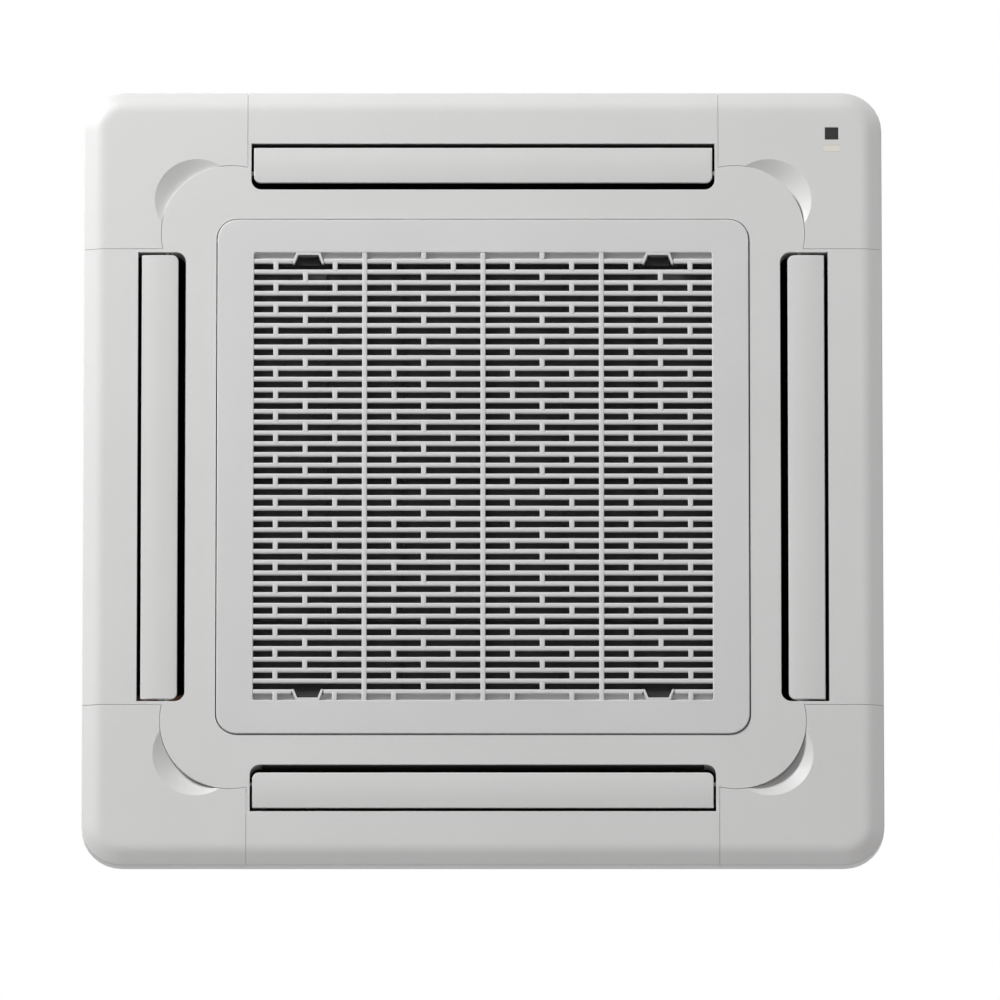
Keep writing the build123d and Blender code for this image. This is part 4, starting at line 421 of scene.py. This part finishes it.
def joined(name, material, *meshes):
    """One piece made of several meshes."""
    shape = bmesh.new()
    for mesh in meshes:
        shape.from_mesh(mesh)
    mesh = bpy.data.meshes.new(name)
    shape.to_mesh(mesh)
    shape.free()
    piece = piece_from(mesh, name, material)
    piece.modifiers.new("even_shading", "WEIGHTED_NORMAL").keep_sharp = True
    return piece


def four_sides(mesh):
    """A mesh and its copies turned to the unit's other sides."""
    copies = [mesh.copy() for side in range(4)]
    for quarter, copy in enumerate(copies):
        copy.transform(Matrix.Rotation(quarter * pi / 2, 4, "Z"))
    return copies


zinc_sheet = galvanised("zinc_sheet")
fastener = coated("fastener", (0.62, 0.61, 0.57), (0.70, 0.69, 0.65), (0.25, 0.40), metallic=1.0)
softened("casing_sides", 0.4, zinc_sheet)
softened("casing_top", 1.2, zinc_sheet, steps=3)
softened("hanger_brackets", 0.6, zinc_sheet)
softened("panel_brackets", 0.5, zinc_sheet)

low_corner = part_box("casing_sides")[0]
first_screw = Vector((MM * SCREW_STEP * (1 - SCREW_COLUMNS) / 2, low_corner.y,
                      low_corner.z + MM * SCREW_ABOVE_RIM))
facing = Matrix.Translation(first_screw) @ Matrix.Rotation(pi / 2, 4, "X")
head = bmesh.new()
for segments, radius, depth in (WASHER, HEXAGON):
    bmesh.ops.create_cone(head, cap_ends=True, segments=segments, radius1=radius * MM,
                          radius2=radius * SCREW_TAPER * MM, depth=2 * depth * MM, matrix=facing)
screws = repeated(mesh_of(head, "screw_head"), fastener, SCREW_COLUMNS, (SCREW_STEP, 0, 0),
                  2, (0, 0, SCREW_ROW_STEP))
fix_to(joined("casing_screws", fastener, *four_sides(screws)), "casing_sides")

# ------------------------------------------------------------------ insulation
# Foam that lines the casing's walls and top, so that the cold air inside makes no drops outside.
# It is made of beads, steamed together in a mould, and is pushed in from below. It is black, as such foam
# often is, and kept this dark to paint the deep shade seen through the outlets and the grille.


def beaded(name, colour):
    """Steamed foam: round beads pressed flat against each other."""
    material, tree, shader = new_material(name, roughness=0.85)
    spot = place(tree, "ShaderNodeTexCoord")
    beads = place(tree, "ShaderNodeTexVoronoi", {"Vector": spot.outputs["Object"], "Scale": 260.0})
    edge = place(tree, "ShaderNodeMapRange",
                 {"Value": beads.outputs["Distance"], "From Min": 0.3, "From Max": 0.8})
    darker = tuple(channel * 0.8 for channel in colour)
    tone = place(tree, "ShaderNodeMix", {0: edge.outputs[0], 6: rgb(*colour), 7: rgb(*darker)},
                 data_type="RGBA")
    tree.links.new(tone.outputs[2], shader.inputs["Base Color"])
    fall = place(tree, "ShaderNodeMath", {0: 1.0, 1: edge.outputs[0]}, operation="SUBTRACT")
    bump = place(tree, "ShaderNodeBump", {"Distance": 0.25 * MM, "Height": fall.outputs[0]})
    tree.links.new(bump.outputs[0], shader.inputs["Normal"])
    return material


# Black foam for the lining and the drain pan: dark to paint the shade deep inside the unit
black_shade_foam = beaded("black_shade_foam", (0.035, 0.035, 0.037))
softened("casing_insulation", 0.8, black_shade_foam)

# ------------------------------------------------------------------ heat exchanger and its pipes
# A stack of thin aluminium fins on copper tubes, bent in a square round the fan. The tubes' ends are
# joined by soldered return bends. Two pipes leave through a plate of zinc sheet and a rubber ring
# keeps the cable off the edge of its hole.


def lined(name, colour, dark, directions, spacing, depth, roughness, metallic=0.0):
    """A surface with fine parallel lines in one or more directions, such as a net or a stack of fins.
    The lines' spacing and depth are in millimetres."""
    material, tree, shader = new_material(name, roughness, metallic)
    spot = place(tree, "ShaderNodeTexCoord")
    threads = None
    for direction in directions:
        # the profile of a wave repeats after 2 pi / (20 x scale)
        wave = place(tree, "ShaderNodeTexWave",
                     {"Vector": spot.outputs["Object"], "Scale": 2 * pi / (20 * spacing * MM)},
                     bands_direction=direction).outputs["Fac"]
        threads = wave if threads is None else place(
            tree, "ShaderNodeMath", {0: threads, 1: wave}, operation="MAXIMUM").outputs[0]
    other = tuple(channel * 0.9 for channel in colour)
    tone = use(tree, drift, {"Colour": rgb(*colour), "Other colour": rgb(*other), "Scale": 12.0})
    tone = place(tree, "ShaderNodeMix", {0: threads, 6: rgb(*dark), 7: tone.outputs["Colour"]},
                 data_type="RGBA")
    tree.links.new(tone.outputs[2], shader.inputs["Base Color"])
    bump = place(tree, "ShaderNodeBump", {"Distance": depth * MM, "Height": threads})
    tree.links.new(bump.outputs[0], shader.inputs["Normal"])
    return material


fins = lined("fins", (0.74, 0.77, 0.80), (0.16, 0.17, 0.18), "XY", spacing=1.6, depth=0.4,
             roughness=0.35, metallic=0.85)
copper_tube = coated("copper_tube", (0.80, 0.42, 0.27), (0.66, 0.31, 0.19), (0.24, 0.42), metallic=1.0,
                     drift_scale=30.0)
rubber = coated("rubber", (0.02, 0.02, 0.02), (0.03, 0.03, 0.03), (0.6, 0.75))
softened("heat_exchanger_fins", 0, fins)
softened("coil_end_plates", 0, zinc_sheet)
softened("coil_return_bends", 0, copper_tube)
softened("gas_pipe", 0.3, copper_tube)
softened("liquid_pipe", 0.3, copper_tube)
softened("pipe_plate", 0.2, zinc_sheet)
softened("cable_grommet", 0.5, rubber)

# ------------------------------------------------------------------ fan motor
# A motor in a pressed steel can hangs under the casing's top. Studs with nuts hold it, and rubber
# mounts between keep its hum out of the sheet.
steel_can = coated("steel_can", (0.55, 0.55, 0.56), (0.62, 0.62, 0.63), (0.28, 0.42), metallic=0.9)
softened("fan_motor", 0.8, steel_can)
softened("motor_shaft", 0.3, steel_can)
softened("motor_mounts", 0.5, rubber)
softened("motor_studs", 0.3, fastener)
softened("motor_nuts", 0.3, fastener)

# ------------------------------------------------------------------ turbo fan
# A moulded wheel that draws air in from below and throws it out through the heat exchanger. A nut
# holds it on the motor's shaft.
grey_plastic = coated("grey_plastic", (0.10, 0.10, 0.105), (0.12, 0.12, 0.125), (0.5, 0.6))
softened("turbo_fan", 0.3, grey_plastic)
softened("fan_nut", 0.5, fastener)

# ------------------------------------------------------------------ drain pan
# A tray of moulded foam under the heat exchanger that catches its drops. A rubber plug closes the
# hole through which it is emptied.
softened("drain_pan", 1.0, black_shade_foam)
softened("drain_plug", 0.5, rubber)

# ------------------------------------------------------------------ drain pump
# A small moulded pump on a sheet steel bracket lifts the water from the pan's sump into a pipe. A
# float switch beside it stops the unit before the pan runs over.
pvc = coated("pvc", (0.66, 0.66, 0.64), (0.70, 0.70, 0.68), (0.35, 0.45))
dark_plastic = coated("dark_plastic", (0.02, 0.02, 0.021), (0.03, 0.03, 0.031), (0.45, 0.55))
softened("drain_pump", 0.5, pvc)
softened("pump_impeller", 0, dark_plastic)
softened("pump_bracket", 0.3, zinc_sheet)
softened("drain_pipe", 0.4, pvc)
softened("float_switch", 0.3, pvc)
softened("switch_float", 0.5, dark_plastic)

# ------------------------------------------------------------------ bell mouth
# A moulded ring with a flared throat that leads the air into the fan. Screws hold it to the drain
# pan.
softened("bell_mouth", 0.3, dark_plastic)
softened("bell_mouth_screws", 0.3, fastener)

# ------------------------------------------------------------------ control box
# A tray folded from zinc plated sheet with a screwed lid, which lies beside the bell mouth. It holds
# the circuit board, a transformer and a block of terminals for the cable.
board_green = coated("board_green", (0.03, 0.16, 0.07), (0.04, 0.19, 0.09), (0.3, 0.4))
winding = coated("winding", (0.55, 0.38, 0.10), (0.62, 0.44, 0.13), (0.4, 0.5))
nylon = coated("nylon", (0.78, 0.76, 0.68), (0.82, 0.80, 0.72), (0.4, 0.5))
softened("control_box", 0.2, zinc_sheet)
softened("control_box_cover", 0.3, zinc_sheet)
softened("control_box_screws", 0.3, fastener)
softened("circuit_board", 0, board_green)
softened("transformer", 0.5, winding)
softened("terminal_block", 0.5, nylon)

# ------------------------------------------------------------------ panel frame
# One large moulding with four outlets and a collar round the air's way in. It is screwed up to the
# casing against foam seals. Bands of black foam line the long walls of each outlet, as foam does in
# real units, and they are kept black to paint the deep shade inside the outlets' gaps.
PANEL_HALF, PANEL_CORNER = round(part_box("panel_frame")[1].x / MM, 3), 48
PANEL_EDGE = 0.25  # how far the panel's and the covers' edges are rounded
BEVEL_START, BEVEL_END = 25, 13  # how far inside the rim its soft curve starts and ends
BEVEL_DROP, BEVEL_RISE = 0.02, 1.93
CURVE_STEPS = 5
CORNER_STEPS = 8
OUTLET_NEAR, OUTLET_FAR = 353.55, 410.45  # the outlets' long walls from the unit's middle
LINER, LINER_LOW, LINER_HIGH = 0.65, 2.6, 24.9
LINER_NEAR_HALF, LINER_FAR_HALF = 262, 275


def slab(shape, outlines, low, high, radius=0.0, draft=0.0):
    """Adds a plate to a mesh. Outlines are loops of plan points in millimetres, the outer one first.
    Its lower edges are rounded by radius, and its top is drawn in by draft."""
    steps = 3
    lower, upper = [], []
    for number, outline in enumerate(outlines):
        area = sum(Vector(a).cross(Vector(b)) for a, b in zip(outline, outline[1:] + outline[:1]))
        points = [Vector(point) for point in (outline if (area > 0) == (number == 0) else outline[::-1])]
        inward = []
        for before, point, after in zip(points[-1:] + points, points, points[1:] + points[:1]):
            come, go = (point - before).normalized(), (after - point).normalized()
            aside = Vector((-come.y - go.y, come.x + go.x))
            inward.append(aside / max(1 + come.dot(go), 0.3))
        angles = [pi / 2 * step / steps for step in range(steps + 1)] if radius else []
        profile = [(radius * (1 - sin(angle)), low + radius * (1 - cos(angle))) for angle in angles]
        rings = [[shape.verts.new((*(MM * (point + inset * way)), FACE_LEVEL + MM * height))
                  for point, way in zip(points, inward)]
                 for inset, height in (profile or [(0, low)]) + [(draft, high)]]
        for ring, above in zip(rings, rings[1:]):
            for a, b, c, d in zip(ring, ring[1:] + ring[:1], above[1:] + above[:1], above):
                shape.faces.new((a, b, c, d)).smooth = True
        for ring, edges in ((rings[0], lower), (rings[-1], upper)):
            edges += [shape.edges.get(pair) for pair in zip(ring, ring[1:] + ring[:1])]
    for edges, way in ((lower, -1), (upper, 1)):
        lid = bmesh.ops.triangle_fill(shape, use_beauty=True, edges=edges, normal=(0, 0, way))["geom"]
        for face in lid:
            if isinstance(face, bmesh.types.BMFace):
                face.normal_update()
                if face.normal.z * way < 0:
                    face.normal_flip()
                face.smooth = True
    for edge in upper if radius else upper + lower:
        edge.smooth = False


def rounded_square(half, corner):
    """Outline of a square with round corners, turning left from the far end of its right side."""
    points = []
    for quarter, (x, y) in enumerate(square_corners(half - corner)):
        for step in range(CORNER_STEPS + 1):
            angle = pi / 2 * (quarter + step / CORNER_STEPS)
            points.append((x + corner * cos(angle), y + corner * sin(angle)))
    return points


def oblong(left, right, low, high):
    """Outline of a rectangle."""
    return [(left, low), (right, low), (right, high), (left, high)]


def rim_envelope():
    """The space inside the panel's rolled rim: the bevel starts in a soft curve and ends in a rounded
    edge. Its profile is a row of (inset, height) from the face up."""
    soft = [(BEVEL_START + (BEVEL_END - BEVEL_START) * part, BEVEL_DROP + BEVEL_RISE * part * part)
            for part in (step / CURVE_STEPS for step in range(CURVE_STEPS + 1))]
    profile = [(31, -0.3), *soft, (1.4, 5.65), (0.5, 6.0), (0.06, 6.7), (0.06, 40)]
    shape = bmesh.new()
    rings = [[shape.verts.new((MM * x, MM * y, FACE_LEVEL + MM * height))
              for x, y in rounded_square(PANEL_HALF - inset, PANEL_CORNER - inset)]
             for inset, height in profile]
    for ring, above in zip(rings, rings[1:]):
        for corners in zip(ring, ring[1:] + ring[:1], above[1:] + above[:1], above):
            shape.faces.new(corners)
    shape.faces.new(rings[0][::-1])
    shape.faces.new(rings[-1])
    return piece_from(mesh_of(shape, "rolled_rim"), "rolled_rim")


panel_plastic = coated("panel_plastic", (0.715, 0.715, 0.71), (0.735, 0.735, 0.73), (0.40, 0.48),
                       drift_scale=5.0, grain_scale=1800.0, grain_depth=0.012)
seal_foam = coated("seal_foam", (0.03, 0.03, 0.03), (0.045, 0.045, 0.045), (0.8, 0.95),
                   grain_scale=900.0, grain_depth=0.15)
rolled_rim = rim_envelope()
softened("panel_frame", PANEL_EDGE, panel_plastic, within=rolled_rim)
softened("inlet_collar", 0, panel_plastic)
softened("panel_seals", 0.8, seal_foam)
softened("panel_screws", 0.5, fastener)
# Black foam bands on the outlets' long walls, dark to paint the shade deep in the outlet gaps
shade_strips = bmesh.new()
for left, right, half in ((OUTLET_NEAR, OUTLET_NEAR + LINER, LINER_NEAR_HALF),
                          (OUTLET_FAR - LINER, OUTLET_FAR, LINER_FAR_HALF)):
    slab(shade_strips, [oblong(left, right, -half, half)], LINER_LOW, LINER_HIGH)
fix_to(joined("outlet_shade_liners", seal_foam, *four_sides(mesh_of(shade_strips, "shade_strips"))), "panel_frame")

# ------------------------------------------------------------------ air vanes
# Four long moulded blades that turn the air as it leaves. Each swings on a pin at both ends: a
# stepping motor turns one, and the other runs in a moulded bush.
vane_plastic = coated("vane_plastic", (0.705, 0.705, 0.70), (0.72, 0.72, 0.715), (0.36, 0.44),
                      drift_scale=6.0, grain_scale=2200.0, grain_depth=0.008)
for outlet in ("right", "front", "left", "rear"):
    softened(f"vane_{outlet}", 0.8, vane_plastic)
softened("vane_bushes", 0.3, grey_plastic)
softened("vane_motors", 0.3, steel_can)

# ------------------------------------------------------------------ corner covers and receiver
# Covers moulded of the panel's plastic, which pull straight down off their pegs. One has the dark
# window of the receiver and a pale lamp lens let into it, with their circuit board behind.
for corner in ("rear_right", "rear_left", "front_right", "front_left"):
    softened(f"corner_cover_{corner}", PANEL_EDGE, panel_plastic, within=rolled_rim)
bpy.data.objects.remove(rolled_rim)
softened("receiver_window", 0.3, dark_plastic)
softened("indicator_lens", 0.3, nylon)
softened("display_board", 0, board_green)

# ------------------------------------------------------------------ intake grille
# One moulding: a flat rim with round corners round a field of thin slats. Short ties brace the slats
# in alternate places, and three ribs run right across. It hangs on two trunnions at the rear, and
# dark latches and catches stand in its windows. Lengths here are in millimetres.
GRILLE_HALF, GRILLE_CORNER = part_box("inlet_grille")[1].y / MM, 24
RIM_WALL = 3
PROUD = -2  # the rim's face, below the panel's
PLATE_TOP, SLAT_TOP, RIM_TOP = 1.5, 6, 10
WALL_FOOT = PLATE_TOP - 0.1
RIB_SET, WINDOW_SET, SLAT_SET = 0.1, 0.2, 0.5  # how far these stand back from the rim's face
ROWS = 42
PITCH = 556 / ROWS
TIE_GRID = 35.2  # ties and ribs stand on multiples of this
HALF_SLAT = 3  # half the thickness of slats, ties and ribs
FIELD_X, FIELD_Y, FIELD_CUT = 272.5, 275.0, 1.5  # half the louvre field, and its cut corners
LAP, SLAT_LAP = 0.5, 2.5  # how far pieces run into the rim
RIM_ROUND, RIB_ROUND, SLAT_ROUND, WINDOW_ROUND = 1.1, 1.0, 1.7, 0.7
SLAT_DRAFT, TIE_DRAFT, END_DRAFT = 2.0, 1.8, 1.2
TIE_REACH, END_TIE_NEAR, END_TIE_FAR = 5.8, 4.6, 4.2  # from the middle of the row that a tie crosses
SIDE_WALL, END_WALL = 6, 9
LATCH_LOW, LATCH_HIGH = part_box("grille_latch_right")
LATCH_X = (LATCH_LOW.x + LATCH_HIGH.x) / 2 / MM
NOTCH_HALF = (LATCH_HIGH.x - LATCH_LOW.x) / 2 / MM + 0.3
WINDOW_NEAR, WINDOW_FAR, WINDOW_END = 261.7, 272, 275.4
WINDOW_WIDE, WINDOW_NARROW = 16.2, 12  # half widths
WINDOW_WALL, WINDOW_END_WALL = 3, 2.2  # what the frame adds to the half widths
BLIND_NEAR, BLIND_HALF, BLIND_HEIGHT = 267, 13.6, 4.2
SLAT_GAP = 18.8  # half of what the end slats leave open at a window
POST_X, POST_RADIUS = 285, 4
POST_STEP = 2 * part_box("air_filter_frame")[1].y / MM / 3
HINGE_Y, HINGE_HEIGHT = -291.5, 4
TRUNNION_LENGTH, TRUNNION_RADIUS = 7, 2
TRUNNION_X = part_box("inlet_grille")[1].x / MM - TRUNNION_LENGTH / 2


def disc(x, y, radius):
    """Outline of a circle."""
    count = 24
    return [(x + radius * cos(2 * pi * step / count), y + radius * sin(2 * pi * step / count))
            for step in range(count)]


def row(index):
    """Middle of one row of air gaps."""
    return (index - (ROWS - 1) / 2) * PITCH


def add_rim(shape):
    """The flat rim, the walls that stiffen it, the posts for the filter and the trunnions."""
    outer = rounded_square(GRILLE_HALF, GRILLE_CORNER)
    inner = rounded_square(GRILLE_HALF - RIM_WALL, GRILLE_CORNER - RIM_WALL)
    half_field = [(FIELD_X, FIELD_Y - FIELD_CUT), (FIELD_X - FIELD_CUT, FIELD_Y),
                  (FIELD_CUT - FIELD_X, FIELD_Y), (-FIELD_X, FIELD_Y - FIELD_CUT)]
    field = half_field + [(-x, -y) for x, y in half_field]
    slab(shape, [outer, field], PROUD, PLATE_TOP, RIM_ROUND)
    wall_x, wall_y = FIELD_X + SIDE_WALL, FIELD_Y + END_WALL
    slab(shape, [oblong(-wall_x, wall_x, -wall_y, wall_y), oblong(-FIELD_X, FIELD_X, -FIELD_Y, FIELD_Y)],
         WALL_FOOT, SLAT_TOP)
    slab(shape, [outer, inner], WALL_FOOT, SLAT_TOP)
    # the outer wall's upper half is cut away at the front for both latch tongues
    ends, bridge, first = LATCH_X + NOTCH_HALF, LATCH_X - NOTCH_HALF, CORNER_STEPS + 1
    outer, inner = outer[first:] + outer[:first], inner[first:] + inner[:first]
    slab(shape, [[(-ends, GRILLE_HALF), *outer, (ends, GRILLE_HALF),
                  (ends, GRILLE_HALF - RIM_WALL), *inner[::-1], (-ends, GRILLE_HALF - RIM_WALL)]],
         SLAT_TOP, RIM_TOP)
    slab(shape, [oblong(-bridge, bridge, GRILLE_HALF - RIM_WALL, GRILLE_HALF)], SLAT_TOP, RIM_TOP)
    for x in (-POST_X, POST_X):
        for y in (-POST_STEP, 0, POST_STEP):
            slab(shape, [disc(x, y, POST_RADIUS)], WALL_FOOT, RIM_TOP)
    for x in (-TRUNNION_X, TRUNNION_X):
        spot = Matrix.Translation((x * MM, HINGE_Y * MM, FACE_LEVEL + HINGE_HEIGHT * MM))
        bmesh.ops.create_cone(shape, cap_ends=True, segments=20, radius1=TRUNNION_RADIUS * MM,
                              radius2=TRUNNION_RADIUS * MM, depth=TRUNNION_LENGTH * MM,
                              matrix=spot @ Matrix.Rotation(pi / 2, 4, "Y"))


def add_rib(shape, x, low, high):
    """A rib or a tie between the slats, from low to high along the grille."""
    slab(shape, [oblong(x - HALF_SLAT, x + HALF_SLAT, low, high)], PROUD + RIB_SET, SLAT_TOP, RIB_ROUND)


def add_end(shape, end):
    """What differs at the rear (-1) or the front (1) of the field: a slat in three lengths, a row
    that is closed at the back, and the frames of the two windows."""
    reach = FIELD_X + LAP
    slat = abs(row(0)) - PITCH / 2
    near, far = sorted((end * (slat - HALF_SLAT), end * (slat + HALF_SLAT)))
    for left, right in ((-reach, -LATCH_X - SLAT_GAP), (SLAT_GAP - LATCH_X, LATCH_X - SLAT_GAP),
                        (LATCH_X + SLAT_GAP, reach)):
        slab(shape, [oblong(left, right, near, far)], PROUD + SLAT_SET, SLAT_TOP,
             SLAT_ROUND, END_DRAFT)
    notch = [(-BLIND_HALF, BLIND_NEAR), (-WINDOW_NARROW, WINDOW_FAR),
             (WINDOW_NARROW, WINDOW_FAR), (BLIND_HALF, BLIND_NEAR)]
    notches = [(x + dx, y) for x in (-LATCH_X, LATCH_X) for dx, y in notch]
    back = [(-reach, BLIND_NEAR), *notches, (reach, BLIND_NEAR),
            (reach, FIELD_Y + LAP), (-reach, FIELD_Y + LAP)]
    slab(shape, [[(x, end * y) for x, y in back]], BLIND_HEIGHT, SLAT_TOP)
    edge = [(-WINDOW_WIDE, WINDOW_NEAR), (-WINDOW_NARROW, WINDOW_FAR)]
    outer_edge = [(-WINDOW_NARROW - WINDOW_END_WALL, WINDOW_END), (-WINDOW_WIDE - WINDOW_WALL, WINDOW_NEAR)]
    wedge = edge + [(-x, y) for x, y in edge[::-1] + outer_edge[::-1]] + outer_edge
    for x in (-LATCH_X, LATCH_X):
        slab(shape, [[(x + dx, end * y) for dx, y in wedge]], PROUD + WINDOW_SET, SLAT_TOP,
             WINDOW_ROUND)


def moved(mesh, x, y):
    """A copy of a mesh, moved in plan by millimetres."""
    copy = mesh.copy()
    copy.transform(Matrix.Translation((x * MM, y * MM, 0)))
    return copy


grille_plastic = coated("grille_plastic", (0.69, 0.69, 0.69), (0.715, 0.715, 0.715), (0.42, 0.50),
                        drift_scale=6.0, grain_scale=1800.0, grain_depth=0.012)
fixed = bmesh.new()
add_rim(fixed)
for x in (-4 * TIE_GRID, 0, 4 * TIE_GRID):
    add_rib(fixed, x, -FIELD_Y - LAP, FIELD_Y + LAP)
for end in (-1, 1):
    add_end(fixed, end)
for x in (-2 * TIE_GRID, 2 * TIE_GRID):
    add_rib(fixed, x, row(0) - END_TIE_FAR, row(0) + END_TIE_NEAR)
    add_rib(fixed, x, row(ROWS - 2) - END_TIE_NEAR, row(ROWS - 2) + END_TIE_NEAR)

slat_shape, tie_shape = bmesh.new(), bmesh.new()
first_slat = row(1) + PITCH / 2
slat_reach = FIELD_X + SLAT_LAP
slab(slat_shape, [oblong(-slat_reach, slat_reach, first_slat - HALF_SLAT, first_slat + HALF_SLAT)],
     PROUD + SLAT_SET, SLAT_TOP, SLAT_ROUND, SLAT_DRAFT)
slab(tie_shape, [oblong(-HALF_SLAT, HALF_SLAT, -TIE_REACH, TIE_REACH)],
     PROUD + RIB_SET, SLAT_TOP, RIB_ROUND, TIE_DRAFT)
slat_mesh, tie_mesh = mesh_of(slat_shape, "slat"), mesh_of(tie_shape, "tie")
odd_tie, even_tie = moved(tie_mesh, -7 * TIE_GRID, row(1)), moved(tie_mesh, -6 * TIE_GRID, row(2))
grille = joined(
    "intake_grille", grille_plastic,
    mesh_of(fixed, "grille_frame"),
    repeated(slat_mesh, grille_plastic, rows=ROWS - 3, along=(0, PITCH, 0)),
    repeated(odd_tie, grille_plastic, 8, (2 * TIE_GRID, 0, 0), ROWS // 2, (0, 2 * PITCH, 0)),
    repeated(even_tie, grille_plastic, 4, (4 * TIE_GRID, 0, 0), ROWS // 2 - 2, (0, 2 * PITCH, 0)),
)
fit(grille, "inlet_grille")
softened("grille_latch_left", 0.3, dark_plastic)
softened("grille_latch_right", 0.3, dark_plastic)
softened("grille_catches", 0.3, dark_plastic)

# ------------------------------------------------------------------ air filter
# A fine net moulded into a dark plastic frame. It lies on the posts of the intake grille and lifts
# out to be washed.
net = lined("net", (0.05, 0.05, 0.052), (0.006, 0.006, 0.006), "XY", spacing=1.3, depth=0.3,
            roughness=0.55)
softened("air_filter_frame", 0.3, dark_plastic)
softened("filter_mesh", 0, net)
